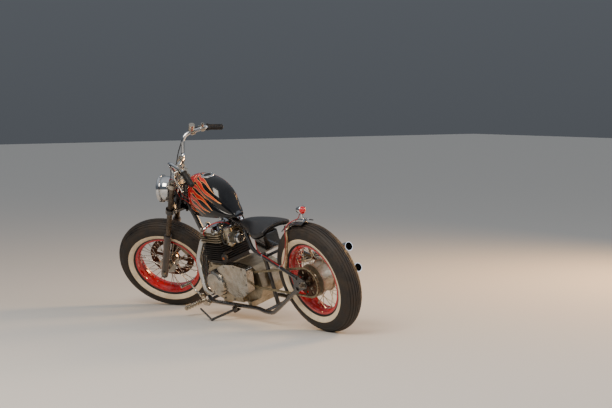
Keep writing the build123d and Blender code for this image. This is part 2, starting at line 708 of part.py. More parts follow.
def battery_box():
    """The box behind the seat post, with the saddle that clamps it to the post."""
    box = slab([(374.0, 506.0), (392.0, 490.0), (466.0, 490.0), (472.0, 590.0), (460.0, 604.0), (374.0, 604.0)], -56.0, 56.0, 8.0)
    saddle = slab([(460.0, 492.0), (492.0, 492.0), (492.0, 514.0), (460.0, 514.0)], -10.0, 10.0)
    return box.fuse(saddle - seat_post(SEAT_TUBE_RADIUS + SEAT_GAP))


def muffler(start, tip):
    """A slim cone that widens from the header, then runs straight to an open end."""
    a, b = Vector(*start), Vector(*tip)
    step = (b - a).normalized()
    shoulder = a + step * 70.0
    body = bar(tuple(a - step * 4.0), tuple(shoulder), HEADER_RADIUS + 2.0, MUFFLER_RADIUS)
    pipe = bar(tuple(shoulder), tuple(b), MUFFLER_RADIUS)
    bore = bar(tuple(b - step * 150.0), tuple(b + step), MUFFLER_RADIUS - 3.0)
    return body.fuse(pipe) - bore


def exhaust(rows, tip):
    y = rows[0][1]
    flange = bar(port_point(y, 1.01), port_point(y, 1.14), 30.0)
    header = bent(rows, HEADER_RADIUS)
    return header.fuse(flange, muffler(rows[-1][:3], tip))


# Tank, seat and fender

# Columns: x, crest z, ridge half-width, ridge z, widest half-width, its z, bottom half-width, bottom z
TANK_SECTIONS = [
    (1046.0, 922.0, 38.0, 890.0, 54.0, 842.0, 44.0, 780.0),
    (1022.0, 945.0, 56.0, 903.0, 86.0, 812.0, 74.0, 722.0),
    (950.0, 957.0, 78.0, 895.0, 107.0, 800.0, 92.0, 709.0),
    (880.0, 956.0, 88.0, 862.0, 114.0, 784.0, 98.0, 706.0),
    (800.0, 938.0, 88.0, 808.0, 104.0, 758.0, 90.0, 702.0),
    (740.0, 892.0, 78.0, 760.0, 87.0, 730.0, 76.0, 699.0),
    (690.0, 808.0, 58.0, 727.0, 63.0, 712.0, 55.0, 695.0),
    (646.0, 720.0, 30.0, 706.0, 32.0, 698.0, 28.0, 690.0),
]


def tank_section(row):
    x, crest, ridge_y, ridge_z, wide_y, wide_z, low_y, low_z = row
    outline = Wire([
        Line((-low_y, low_z), (low_y, low_z)).edge(),
        ThreePointArc((low_y, low_z), (wide_y, wide_z), (ridge_y, ridge_z)).edge(),
        ThreePointArc((ridge_y, ridge_z), (0, crest), (-ridge_y, ridge_z)).edge(),
        ThreePointArc((-ridge_y, ridge_z), (-wide_y, wide_z), (-low_y, low_z)).edge(),
    ])
    return Plane(origin=(x, 0, 0), x_dir=(0, 1, 0), z_dir=(1, 0, 0)) * make_face(outline)


def backbone_tunnel(gap):
    """The space that the backbone needs in whatever sits astride it."""
    half = BACKBONE_RADIUS + gap
    front, rear = Vector(*BACKBONE_FRONT), Vector(*BACKBONE_REAR)
    run = (front - rear).normalized()
    start, end = rear - run * 40.0, front + run * 40.0
    pipe = bar(tuple(start), tuple(end), half)
    drop = 260.0
    below = slab([(start.X, start.Z), (end.X, end.Z), (end.X, end.Z - drop), (start.X, start.Z - drop)], -half, half)
    return pipe.fuse(below)


def fuel_tank():
    body = loft([tank_section(row) for row in TANK_SECTIONS])
    return body - backbone_tunnel(TUNNEL_GAP) - Pos(CAP_X, 0, CAP_Z + 20.0) * Cylinder(30.0, 40.0)


def filler_cap():
    low = CAP_Z + SEAT_GAP
    shape = revolve(make_face(Polyline((0, 0), (29.5, 0), (29.5, 8), (35, 9), (35, 17), (31, 20), (10, 23), (0, 23), close=True)
                              ), Axis.Y)
    return Pos(CAP_X, 0, low) * Rot(90, 0, 0) * shape


# Columns: x, half-width, top z, shoulder z, edge z of the seat
SEAT_SECTIONS = [
    (628.0, 30.0, 674.0, 668.0, 652.0),
    (560.0, 52.0, 681.0, 668.0, 634.0),
    (470.0, 92.0, 684.0, 664.0, 620.0),
    (370.0, 128.0, 686.0, 668.0, 622.0),
    (260.0, 138.0, 691.0, 682.0, 650.0),
    (160.0, 104.0, 697.0, 692.0, 672.0),
]
PAN_WALL = 4.0


def seat_section(row, drop_top, drop_low):
    """A saddle-shaped slice: a crowned top, two drooping sides and a hollow underside."""
    x, half, top, shoulder, edge = row
    under = top - (top - edge) * 0.45
    outline = Wire([
        ThreePointArc((-half, shoulder - drop_top), (0, top - drop_top), (half, shoulder - drop_top)).edge(),
        Line((half, shoulder - drop_top), (half * 0.94, edge - drop_low)).edge(),
        ThreePointArc((half * 0.94, edge - drop_low), (0, under - drop_low), (-half * 0.94, edge - drop_low)).edge(),
        Line((-half * 0.94, edge - drop_low), (-half, shoulder - drop_top)).edge(),
    ])
    return Plane(origin=(x, 0, 0), x_dir=(0, 1, 0), z_dir=(1, 0, 0)) * make_face(outline)


def seat_cushion():
    return loft([seat_section(row, 0.0, 0.0) for row in SEAT_SECTIONS])


def pan_section(row):
    x, half, top, shoulder, edge = row
    under = top - (top - edge) * 0.45 - SEAT_GAP
    wide = half * 0.84
    rim_z = edge + (under - edge) * 0.15 - SEAT_GAP
    outline = Wire([
        ThreePointArc((-wide, rim_z), (0, under), (wide, rim_z)).edge(),
        Line((wide, rim_z), (wide, rim_z - PAN_WALL)).edge(),
        ThreePointArc((wide, rim_z - PAN_WALL), (0, under - PAN_WALL), (-wide, rim_z - PAN_WALL)).edge(),
        Line((-wide, rim_z - PAN_WALL), (-wide, rim_z)).edge(),
    ])
    return Plane(origin=(x, 0, 0), x_dir=(0, 1, 0), z_dir=(1, 0, 0)) * make_face(outline)


def seat_pan():
    """The seat's steel base, with a nose block on the backbone and a rear pad on the fender."""
    pan = loft([pan_section(row) for row in SEAT_SECTIONS[:5]])
    nose = Pos(612.0, 0, 652.0) * Box(32.0, 26.0, 20.0)
    nose -= bar(BACKBONE_FRONT, BACKBONE_REAR, BACKBONE_RADIUS + SEAT_GAP)
    nose -= Pos(*BACKBONE_REAR) * Sphere(BACKBONE_RADIUS + SEAT_GAP)
    pad = Pos(250.0, 0, 652.0) * Box(40.0, 60.0, 48.0)
    crown = REAR_AXLE * Rot(90, 0, 0) * Cylinder(FENDER_RADIUS + FENDER_CROWN + SEAT_GAP, 80.0)
    return pan.fuse(nose, pad - crown) - Pos(0, 0, -SEAT_GAP) * seat_cushion()


def fender_profile():
    outer = FENDER_RADIUS + FENDER_CROWN
    low = FENDER_RADIUS
    wall = FENDER_WALL
    half = FENDER_HALF_WIDTH
    return make_face(Wire([
        ThreePointArc((low, -half), (outer, 0), (low, half)).edge(),
        Line((low, half), (low, half - wall)).edge(),
        ThreePointArc((low, half - wall), (outer - wall, 0), (low, -half + wall)).edge(),
        Line((low, -half + wall), (low, -half)).edge(),
    ]))


def rear_fender():
    """A short round-crowned fender with its two struts welded on."""
    shell = REAR_AXLE * Rot(0, -FENDER_TO, 0) * revolve(fender_profile(), Axis.Y, revolution_arc=FENDER_TO - FENDER_FROM)
    left = tube(STRUT_POINTS, [60.0, 60.0], STRUT_RADIUS)
    return shell.fuse(left, mirrored(left)) - frame_stays()


STRUT_RADIUS = 7.0
STRUT_POINTS = [(160.0, 102.0, 424.0), (142.0, 86.0, 486.0), (84.0, 84.0, 615.0), (30.0, 72.0, 706.0)]
TAIL_LAMP = (8.0, 765.0)


def tail_lamp():
    """A bullet-shaped lamp body on a short stalk on the fender's crown."""
    x, z = TAIL_LAMP
    shell = revolve(make_face(Wire([
        ThreePointArc((0, 44.0), (18.0, 30.0), (30.0, -12.0)).edge(),
        Line((30.0, -12.0), (33.0, -12.0)).edge(),
        Line((33.0, -12.0), (33.0, -24.0)).edge(),
        Line((33.0, -24.0), (0, -24.0)).edge(),
        Line((0, -24.0), (0, 44.0)).edge(),
    ])), Axis.Y)
    shell = Pos(x, 0, z) * Rot(0, 0, -90.0) * shell
    stalk = bar((x, 0, z - 20.0), (x, 0, TYRE_RADIUS + FENDER_RADIUS + FENDER_CROWN - 1.0 - 0.3), 7.0)
    return shell.fuse(stalk) - (REAR_AXLE * Rot(90, 0, 0) * Cylinder(FENDER_RADIUS + FENDER_CROWN + SEAT_GAP, 60.0))


def tail_lens():
    x, z = TAIL_LAMP
    back = -24.0 - SEAT_GAP
    outline = make_face(Polyline((0, back), (29.0, back), (29.0, -30.0), (24.0, -35.0), (15.0, -39.5), (0, -42.0), close=True))
    lens = revolve(outline, Axis.Y)
    return Pos(x, 0, z) * Rot(0, 0, -90.0) * lens


# Foot controls and side stand, in the bike frame

PEG_MOUNT = (1086.0, 150.0)
PEG_PLATE_Y = 137.0
PEDAL_Y = PEG_PLATE_Y + 7.0 + SEAT_GAP


def foot_pegs():
    """Forward pegs on their brackets, which clamp to the lower rails."""
    x, z = PEG_MOUNT
    plate = slab([(x - 60.0, 116.0), (x + 6.0, 116.0), (x + 24.0, 136.0), (x + 10.0, 200.0), (x - 18.0, 200.0), (x - 26.0, 160.0)],
                 PEG_PLATE_Y, PEG_PLATE_Y + 7.0, 7.0)
    peg = across(x, z, 11.0, PEG_PLATE_Y + 3.0, 288.0)
    rings = [across(x, z, 14.5, y, y + 9.0) for y in (164.0, 186.0, 208.0, 230.0, 252.0, 274.0)]
    arm = across(x - 42.0, 131.0, 8.0, 106.0, PEG_PLATE_Y + 3.0)
    arm = arm.fuse(across(x - 4.0, 128.0, 8.0, 104.0, PEG_PLATE_Y + 3.0))
    left = plate.fuse(peg, arm, *rings) - rail()
    return both_sides(left)


def shift_pedal():
    """The left toe lever: a hub behind the peg, a rising arm and a rubber-tipped toe peg."""
    x, z = PEG_MOUNT
    hub = across(x - 4.0, z + 38.0, 10.0, PEDAL_Y, PEDAL_Y + 16.0)
    arm = tube([(x - 4.0, PEDAL_Y + 8.0, z + 38.0), (x + 40.0, PEDAL_Y + 10.0, z + 66.0),
                (x + 74.0, PEDAL_Y + 16.0, z + 118.0)], [40.0], 6.0)
    toe = across(x + 74.0, z + 118.0, 9.0, PEDAL_Y + 10.0, PEDAL_Y + 86.0)
    return hub.fuse(arm, toe)


def brake_pedal():
    x, z = PEG_MOUNT
    hub = across(x - 4.0, z + 38.0, 10.0, -PEDAL_Y - 16.0, -PEDAL_Y)
    arm = tube([(x - 4.0, -PEDAL_Y - 8.0, z + 38.0), (x + 40.0, -PEDAL_Y - 10.0, z + 66.0),
                (x + 76.0, -PEDAL_Y - 22.0, z + 112.0)], [40.0], 6.0)
    pad = Pos(x + 80.0, -PEDAL_Y - 46.0, z + 116.0) * Rot(0, -50.0, 0) * Box(40.0, 70.0, 8.0)
    return hub.fuse(arm, pad)


def stand_foot_height():
    """The bike-frame height of the ground under the stand's foot, at the machine's lean."""
    placed = PLACE.inverse()
    x, y = STAND_FOOT
    low = placed * Pos(0, 0, 0)
    normal = Vector(*(placed * Pos(0, 0, 1)).position) - Vector(*low.position)
    origin = Vector(*low.position)
    return origin.Z - ((x - origin.X) * normal.X + (y - origin.Y) * normal.Y) / normal.Z


def stand_frame():
    """The hinge axis: square to the leg, so that the folding foot moves back and slightly down."""
    foot = Vector(STAND_FOOT[0], STAND_FOOT[1], stand_foot_height())
    leg = (foot - Vector(*STAND_PIVOT)).normalized()
    back = Vector(-1.0, -0.1, -0.10)
    back = (back - leg * back.dot(leg)).normalized()
    return foot, leg, leg.cross(back).normalized()


def side_stand():
    foot, leg, axis = stand_frame()
    pivot = Vector(*STAND_PIVOT)
    start = pivot + leg * 12.0
    up = Vector(*(PLACE.inverse() * Pos(0, 0, 1)).position) - Vector(*(PLACE.inverse() * Pos(0, 0, 0)).position)
    low = foot + up * STAND_RADIUS
    stem = bar(tuple(start), tuple(low), STAND_RADIUS)
    tang = bar(tuple(low), STAND_TANG_END, STAND_RADIUS - 2.0)
    ball = Pos(*low) * Sphere(STAND_RADIUS)
    tip = Pos(*STAND_TANG_END) * Sphere(STAND_RADIUS - 2.0)
    eye = Plane(origin=pivot - axis * STAND_EYE_HALF, z_dir=axis) * extrude(Circle(STAND_EYE_RADIUS), 2 * STAND_EYE_HALF)
    hole = Plane(origin=pivot - axis * 30.0, z_dir=axis) * extrude(Circle(STAND_BOLT_RADIUS + RUNNING_GAP), 60.0)
    return stem.fuse(tang, ball, tip, eye) - hole


def stand_bracket():
    """The clevis under the left rail that holds the stand's pivot bolt."""
    axis = stand_frame()[2]
    pivot = Vector(*STAND_PIVOT)
    inboard = (Vector(0, -1, 0) - axis * Vector(0, -1, 0).dot(axis)).normalized()
    reach = pivot.Y - RAIL_POINTS[4][1]
    ear = Circle(STAND_EYE_RADIUS) + Pos(reach / 2, 0) * Rectangle(reach, 2 * STAND_EYE_RADIUS)
    made = [Plane(origin=pivot + axis * low, x_dir=inboard, z_dir=axis) * extrude(ear, 6.0)
            for low in (STAND_EYE_HALF + 1.0, -STAND_EYE_HALF - 7.0)]
    bolt = Plane(origin=pivot - axis * 20.0, z_dir=axis) * extrude(Circle(STAND_BOLT_RADIUS), 40.0)
    return bolt.fuse(*made)


# Steered pieces, in the fork frame

def yoke(low):
    """A fork bridge: a hull round the two legs and the stem."""
    legs = [Pos(AXLE_OFFSET, y, low + YOKE_THICKNESS / 2) * Cylinder(29.0, YOKE_THICKNESS) for y in (LEG_Y, -LEG_Y)]
    boss = Pos(0, 0, low + YOKE_THICKNESS / 2) * Cylinder(28.0, YOKE_THICKNESS)
    web = make_face(Polyline((AXLE_OFFSET + 14.0, LEG_Y), (AXLE_OFFSET - 26.0, LEG_Y + 10.0), (-18.0, 24.0), (-18.0, -24.0),
                             (AXLE_OFFSET - 26.0, -LEG_Y - 10.0), (AXLE_OFFSET + 14.0, -LEG_Y), close=True))
    plate = Pos(0, 0, low + 5.0) * extrude(web, YOKE_THICKNESS - 10.0)
    body = plate.fuse(boss, *legs)
    for y in (LEG_Y, -LEG_Y):
        body -= Pos(AXLE_OFFSET, y, low) * Cylinder(STANCHION_RADIUS + RUNNING_GAP, YOKE_THICKNESS * 3)
    return body


def lower_yoke():
    stem = Pos(0, 0, (YOKE_LOW + LEG_TOP) / 2) * Cylinder(STEM_RADIUS, LEG_TOP - YOKE_LOW)
    lug_angle = STEER_STOP + math.degrees(math.asin(STOP_HALF / STOP_INNER) + math.asin(LUG_HALF / STOP_INNER)) + STOP_PLAY
    lugs = [Rot(0, 0, 180.0 + side * lug_angle) * Pos(34.0, 0, YOKE_LOW + 12.0) * Box(40.0, 2 * LUG_HALF, 14.0) for side in (1, -1)]
    return yoke(YOKE_LOW).fuse(stem, lamp_bracket(), *lugs) - headlamp()


def upper_yoke():
    body = yoke(YOKE_HIGH) - Pos(0, 0, YOKE_HIGH) * Cylinder(STEM_RADIUS + RUNNING_GAP, YOKE_THICKNESS * 3)
    risers = [Pos(CLAMP_Q, y, 0) * Pos(0, 0, (YOKE_HIGH + YOKE_THICKNESS - 6.0 + CLAMP_S) / 2)
              * Cylinder(15.0, CLAMP_S - YOKE_HIGH - YOKE_THICKNESS + 6.0) for y in (RISER_Y, -RISER_Y)]
    clamps = [Pos(CLAMP_Q, y, CLAMP_S) * Rot(90, 0, 0) * Cylinder(BAR_RADIUS + 9.0, 28.0) for y in (RISER_Y, -RISER_Y)]
    bore = Pos(CLAMP_Q, 0, CLAMP_S) * Rot(90, 0, 0) * Cylinder(BAR_RADIUS + RUNNING_GAP, 200.0)
    return body.fuse(*risers, *clamps) - bore


def stanchion():
    return Pos(AXLE_OFFSET, LEG_Y, 0) * (Pos(0, 0, (SLIDER_HIGH + LEG_TOP) / 2)
                                         * Cylinder(STANCHION_RADIUS, LEG_TOP - SLIDER_HIGH - 2 * SEAT_GAP))


def slider():
    profile = make_face(Polyline((0, SLIDER_LOW), (20, SLIDER_LOW), (SLIDER_RADIUS, SLIDER_LOW + 14), (SLIDER_RADIUS, 268),
                                 (27, 272), (27, 296), (23, SLIDER_HIGH), (0, SLIDER_HIGH), close=True))
    leg = revolve(Plane.XZ * profile, Axis.Z)
    return Pos(AXLE_OFFSET, LEG_Y, 0) * leg


def sliders():
    bore = Pos(AXLE_OFFSET, 0, 0) * Rot(90, 0, 0) * Cylinder(AXLE_RADIUS + RUNNING_GAP, 400.0)
    left = slider() - bore
    return both_sides(left)


def front_axle():
    length = 2 * (LEG_Y + SLIDER_RADIUS + 6.0)
    rod = Pos(AXLE_OFFSET, 0, 0) * Rot(90, 0, 0) * Cylinder(AXLE_RADIUS, length)
    made = [rod]
    for side in (1, -1):
        y = side * (LEG_Y + SLIDER_RADIUS + SEAT_GAP + 6.0)
        made.append(Pos(AXLE_OFFSET, y, 0) * Rot(90, 0, 0) * extrude(RegularPolygon(14.0, 6), 6.0, both=True))
    inner = LEG_Y - SLIDER_RADIUS - SEAT_GAP
    for low, high in ((HUB_END_Y + 1.0, inner), (-inner, DISC_Y + DISC_THICKNESS / 2 - 1.0)):
        made.append(Pos(AXLE_OFFSET, (low + high) / 2, 0) * Rot(90, 0, 0) * Cylinder(13.0, high - low))
    return made[0].fuse(*made[1:])


# Columns: q, y, s and bend radius of the left half of the handlebar
BAR_POINTS = [
    (CLAMP_Q, 86.0, CLAMP_S, 40.0),
    (95.0, 150.0, 930.0, 60.0),
    (-26.0, 244.0, 964.0, 35.0),
    (-108.0, 314.0, 940.0, 0.0),
]


def handlebar():
    left = [row[:3] for row in BAR_POINTS]
    points = [(q, -y, s) for q, y, s in reversed(left)] + left
    radii = [row[3] for row in BAR_POINTS[:-1]]
    return tube(points, list(reversed(radii)) + radii, BAR_RADIUS)


def grip():
    start, end = Vector(*BAR_POINTS[2][:3]), Vector(*BAR_POINTS[3][:3])
    run = (end - start).normalized()
    body = bar(tuple(end - run * 96.0), tuple(end + run * 6.0), GRIP_RADIUS)
    flange = bar(tuple(end - run * 100.0), tuple(end - run * 94.0), GRIP_RADIUS + 5.0)
    bore = bar(tuple(end - run * 140.0), tuple(end + run * SEAT_GAP), BAR_RADIUS + SEAT_GAP)
    return body.fuse(flange) - bore


def headlamp():
    bowl = make_face(Wire([
        ThreePointArc((0, -LAMP_DEPTH), (60.0, -LAMP_DEPTH * 0.72), (LAMP_RADIUS - 7.0, -14.0)).edge(),
        Line((LAMP_RADIUS - 7.0, -14.0), (LAMP_RADIUS, -14.0)).edge(),
        Line((LAMP_RADIUS, -14.0), (LAMP_RADIUS, 6.0)).edge(),
        Line((LAMP_RADIUS, 6.0), (LAMP_RADIUS - 8.0, 8.0)).edge(),
        Line((LAMP_RADIUS - 8.0, 8.0), (LAMP_RADIUS - 8.0, -6.0)).edge(),
        Line((LAMP_RADIUS - 8.0, -6.0), (0, -6.0)).edge(),
        Line((0, -6.0), (0, -LAMP_DEPTH)).edge(),
    ]))
    body = revolve(bowl, Axis.Y)
    return lamp_place() * body


def lamp_place():
    """Turns a shape of revolution about Y so that its axis points out of the headlamp."""
    return Pos(LAMP_Q, 0, LAMP_S) * Rot(0, -LAMP_TILT, 0) * Rot(0, 0, -90.0)


def headlamp_lens():
    edge = LAMP_RADIUS - 8.0 - SEAT_GAP
    back = -6.0 + SEAT_GAP
    outline = make_face(Polyline((0, back), (edge, back), (edge, 2.0), (60.0, 7.5), (42.0, 11.0), (22.0, 13.4), (0, 14.0), close=True))
    return lamp_place() * revolve(outline, Axis.Y)


def caliper():
    """The front brake caliper behind the right leg, with its bracket."""
    body = Pos(AXLE_OFFSET, 0, 0) * Rot(0, -128.0, 0) * Pos(138.0, DISC_Y, 0) * Box(62.0, 40.0, 84.0)
    slot = Pos(AXLE_OFFSET, DISC_Y, 0) * Rot(90, 0, 0) * Cylinder(DISC_RADIUS + 3.0, DISC_THICKNESS + 6.0)
    bracket = Pos(AXLE_OFFSET - 42.0, -84.0, 104.0) * Box(56.0, 12.0, 60.0)
    return (body - slot).fuse(bracket) - mirrored(slider())


def lamp_bracket():
    """A forked stay from the lower yoke that holds the headlamp's bowl."""
    q = LAMP_Q - 42.0
    stem = bar((AXLE_OFFSET + 10.0, 0, YOKE_LOW + YOKE_THICKNESS / 2), (q, 0, YOKE_LOW + YOKE_THICKNESS / 2), 9.0)
    post = bar((q, 0, YOKE_LOW + YOKE_THICKNESS / 2), (q, 0, LAMP_S - 60.0), 9.0)
    return stem.fuse(post, Pos(q, 0, YOKE_LOW + YOKE_THICKNESS / 2) * Sphere(9.0))


def bar_direction():
    a, b = Vector(*BAR_POINTS[1][:3]), Vector(*BAR_POINTS[2][:3])
    c = Vector(*BAR_POINTS[3][:3])
    return (b - a).normalized(), (c - b).normalized()


LEVER_OUT = Vector(30.0, 26.0, -14.0)
MIRROR_BOSS_TOP = 36.0
MIRROR_HOLE_DEPTH = 16.0
MIRROR_HOLE_RADIUS = 5.1


def hand_controls():
    """Clutch perch and lever on the left; throttle housing, master cylinder and lever on the right."""
    inner, outer = bar_direction()
    start = Vector(*BAR_POINTS[2][:3]) - inner * 12.0
    made = []
    for side in (1, -1):
        clamp = bar(tuple(start - inner * 22.0), tuple(start), BAR_RADIUS + 8.0)
        lead = start - inner * 11.0 + LEVER_OUT
        tip = lead + outer * 140.0 + LEVER_OUT * 0.6
        root = bar(tuple(start - inner * 11.0), tuple(lead), 8.0)
        lever = tube([tuple(lead), tuple(lead + outer * 34.0 + LEVER_OUT * 0.45), tuple(tip)], [30.0], 5.0)
        knob = Pos(*tip) * Sphere(7.5)
        bore = bar(tuple(start - inner * 50.0), tuple(start + inner * 12.0), BAR_RADIUS + RUNNING_GAP)
        boss = bar(tuple(start - inner * 11.0 + Vector(0, 0, 14.0)), tuple(start - inner * 11.0 + Vector(0, 0, MIRROR_BOSS_TOP)), 10.0)
        hole = bar(tuple(start - inner * 11.0 + Vector(0, 0, MIRROR_BOSS_TOP - MIRROR_HOLE_DEPTH)),
                   tuple(start - inner * 11.0 + Vector(0, 0, MIRROR_BOSS_TOP + 5.0)), MIRROR_HOLE_RADIUS)
        body = clamp.fuse(root, lever, knob, boss) - bore - hole
        made.append(body if side > 0 else mirrored(body))
    corner, next_run = Vector(*BAR_POINTS[1][:3]), bar_direction()[0]
    seat = corner + next_run * 68.0
    pot = bar(tuple(seat + Vector(8.0, 0, 10.0)), tuple(seat + Vector(8.0, 0, 52.0)), 19.0)
    clamp = bar(tuple(seat - next_run * 12.0), tuple(seat + next_run * 12.0), BAR_RADIUS + 8.0)
    hole = bar(tuple(seat - next_run * 40.0), tuple(seat + next_run * 40.0), BAR_RADIUS + RUNNING_GAP)
    made.append(mirrored(clamp.fuse(pot) - hole))
    return group(*made)


# Placement

def lowest(place, centre, axle):
    """The height of a tyre's lowest point for a wheel centre and axle direction in the bike frame."""
    middle = Vector(*(place * Pos(*centre)).position)
    ahead = Vector(*(place * Pos(*(centre + axle))).position)
    normal = ahead - middle
    ring_radius = TYRE_RADIUS - TYRE_SECTION
    return middle.Z - ring_radius * math.sqrt(max(0.0, 1.0 - normal.Z ** 2)) - TYRE_SECTION


def stance():
    """Leans the machine, then pitches and lifts it until both tyres stand on the ground."""
    turned_fork = FORK * Rot(0, 0, STEER_STOP)
    front = Vector(*(turned_fork * Pos(AXLE_OFFSET, 0, 0)).position)
    front_axle_way = Vector(*(turned_fork * Pos(AXLE_OFFSET, 1, 0)).position) - front
    rear = Vector(0, 0, TYRE_RADIUS)
    pitch = 0.0
    for _ in range(6):
        place = Rot(-LEAN, 0, 0) * Rot(0, pitch, 0)
        drop = lowest(place, front, front_axle_way) - lowest(place, rear, Vector(0, 1, 0))
        pitch += math.degrees(drop / WHEELBASE)
    place = Rot(-LEAN, 0, 0) * Rot(0, pitch, 0)
    return Pos(0, 0, -lowest(place, rear, Vector(0, 1, 0))) * place


PLACE = stance()


def bike_nodes():
    return {
        "frame_spine": frame_spine(),
        "frame_rails": frame_rails(),
        "frame_stays": frame_stays(),
        "fuel_tank": fuel_tank(),
        "filler_cap": filler_cap(),
        "seat_pan": seat_pan(),
        "seat_cushion": seat_cushion(),
        "rear_fender": rear_fender(),
        "tail_lamp": tail_lamp(),
        "tail_lens": tail_lens(),
        "crankcase": crankcase(),
        "alternator_cover": alternator_cover(),
        "sprocket_cover": sprocket_cover(),
        "clutch_cover": clutch_cover(),
        "cylinder_block": cylinder_block(),
        "cylinder_head": cylinder_head(),
        "rocker_cover": rocker_cover(),
        "carburettors": both_sides(carburettor()),
        "air_filters": both_sides(air_filter()),
        "horn": horn(),
        "battery_box": battery_box(),
        "exhaust_lower": exhaust(LEFT_HEADER, LOWER_TIP),
        "exhaust_upper": exhaust(RIGHT_HEADER, UPPER_TIP),
        "foot_pegs": foot_pegs(),
        "foot_levers": group(shift_pedal(), brake_pedal()),
        "drive_chain": drive_chain(),
        "gearbox_sprocket": gearbox_sprocket(),
        "rear_axle": REAR_AXLE * rear_axle(),
        "brake_plate": REAR_AXLE * brake_plate(),
        "rear_tyre": REAR_AXLE * tyre(),
        "rear_rim": REAR_AXLE * rim(),
        "rear_hub": REAR_AXLE * rear_hub(),
        "rear_sprocket": REAR_AXLE * rear_sprocket(),
        "side_stand": side_stand(),
    }


def fork_nodes():
    return {
        "lower_yoke": lower_yoke(),
        "upper_yoke": upper_yoke(),
        "fork_stanchions": both_sides(stanchion()),
        "fork_sliders": sliders(),
        "front_axle": front_axle(),
        "handlebar": handlebar(),
        "grips": both_sides(grip()),
        "hand_controls": hand_controls(),
        "headlamp": headlamp(),
        "headlamp_lens": headlamp_lens(),
        "front_caliper": caliper(),
        "front_tyre": FRONT_AXLE * tyre(),
        "front_rim": FRONT_AXLE * rim(),
        "front_hub": FRONT_AXLE * front_hub(),
        "front_disc": FRONT_AXLE * front_disc(),
    }


def write_parts():
    placed = {name: PLACE * shape for name, shape in bike_nodes().items()}
    placed |= {name: PLACE * FORK * Rot(0, 0, STEER_STOP) * shape for name, shape in fork_nodes().items()}
    low = [min(tuple(shape.bounding_box().min)[i] for shape in placed.values()) for i in range(2)]
    high = [max(tuple(shape.bounding_box().max)[i] for shape in placed.values()) for i in range(2)]
    centre = Pos(-(low[0] + high[0]) / 2, -(low[1] + high[1]) / 2, 0)
    os.makedirs("parts", exist_ok=True)
    for name, shape in placed.items():
        export_step(centre * shape, f"parts/{name}.step")
    return centre


if __name__ == "__main__":
    write_parts()
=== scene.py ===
# %% [markdown]
# A rigid-frame bobber leans on its side stand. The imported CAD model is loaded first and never
# changes: it holds the frame, the engine, the wheels and every joint. This script adds what the
# eye looks for on such a machine: paint, chrome, rubber, leather, leads and small fasteners.

import json
import math

import bmesh
import bpy
import numpy as np
from mathutils import Matrix, Vector


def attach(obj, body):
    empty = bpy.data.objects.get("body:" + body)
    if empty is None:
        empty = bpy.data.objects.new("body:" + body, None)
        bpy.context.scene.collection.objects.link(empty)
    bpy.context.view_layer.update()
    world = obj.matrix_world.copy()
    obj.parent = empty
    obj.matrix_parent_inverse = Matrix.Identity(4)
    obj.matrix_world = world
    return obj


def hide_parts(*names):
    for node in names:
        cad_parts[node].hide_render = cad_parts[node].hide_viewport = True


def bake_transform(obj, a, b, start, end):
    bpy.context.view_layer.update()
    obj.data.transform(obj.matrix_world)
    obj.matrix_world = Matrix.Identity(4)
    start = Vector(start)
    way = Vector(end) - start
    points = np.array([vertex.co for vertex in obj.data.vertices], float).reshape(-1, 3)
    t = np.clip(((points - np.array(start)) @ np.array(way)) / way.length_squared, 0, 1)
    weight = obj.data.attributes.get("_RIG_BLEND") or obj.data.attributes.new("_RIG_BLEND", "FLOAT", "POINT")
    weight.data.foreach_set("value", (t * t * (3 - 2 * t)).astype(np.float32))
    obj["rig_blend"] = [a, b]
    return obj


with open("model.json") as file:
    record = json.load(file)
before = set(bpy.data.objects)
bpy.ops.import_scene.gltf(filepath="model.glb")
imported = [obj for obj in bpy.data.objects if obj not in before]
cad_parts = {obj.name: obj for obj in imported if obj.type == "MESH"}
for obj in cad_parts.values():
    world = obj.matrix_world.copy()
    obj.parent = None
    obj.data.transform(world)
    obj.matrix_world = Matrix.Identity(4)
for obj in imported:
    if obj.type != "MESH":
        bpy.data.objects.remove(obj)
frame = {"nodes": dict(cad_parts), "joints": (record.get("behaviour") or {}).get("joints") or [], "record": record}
nodes = frame["nodes"]
joints = {joint["name"]: joint for joint in frame["joints"]}
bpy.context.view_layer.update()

# %% [markdown]
# Every piece is drawn in a working frame, in millimetres, and then moved to its place. The
# machine's own frame stands upright with its origin on the ground under the rear axle. The fork's
# frame turns with the handlebar, and its Z axis is the steering axis. Each wheel has a frame with
# its axle along Y. All of them follow from the joints, so nothing is measured twice.

# %% Working frames
RAKE = math.radians(32.0)
WHEEL_RADIUS = 0.341
STEER_PIVOT = 0.620
AXLE_OFFSET = 70.0
MM = Matrix.Scale(0.001, 4)


def axes_matrix(x, y, z, origin):
    """A frame with these three axes and this origin."""
    turn = Matrix((x, y, z)).transposed().to_4x4()
    return Matrix.Translation(origin) @ turn


def joint_line(name):
    joint = joints[name]
    return Vector(joint["pos_m"]), Vector(joint["axis"]).normalized()


rear_axle, left = joint_line("rear_wheel")
steer_point, steer_axis = joint_line("steering")
_, front_left = joint_line("front_wheel")
across = steer_axis.cross(left)
forward = steer_axis * -math.sin(RAKE) - across * math.cos(RAKE)
upward = forward.cross(left)
BIKE = axes_matrix(forward, left, upward, rear_axle - upward * WHEEL_RADIUS) @ MM
REAR_WHEEL = axes_matrix(forward, left, upward, rear_axle) @ MM
FORK = axes_matrix(front_left.cross(steer_axis), front_left, steer_axis,
                   steer_point - steer_axis * STEER_PIVOT) @ MM
FRONT_WHEEL = FORK @ Matrix.Translation((AXLE_OFFSET, 0, 0)) @ Matrix.Rotation(RAKE, 4, "Y")
print("machine forward", tuple(round(v, 4) for v in forward), "up", tuple(round(v, 4) for v in upward))

# %% [markdown]
# The camera stands behind the machine's left side, a little above the axle, with a long lens. Its
# place is given from the rear axle, because that point stays where it is when a size changes.

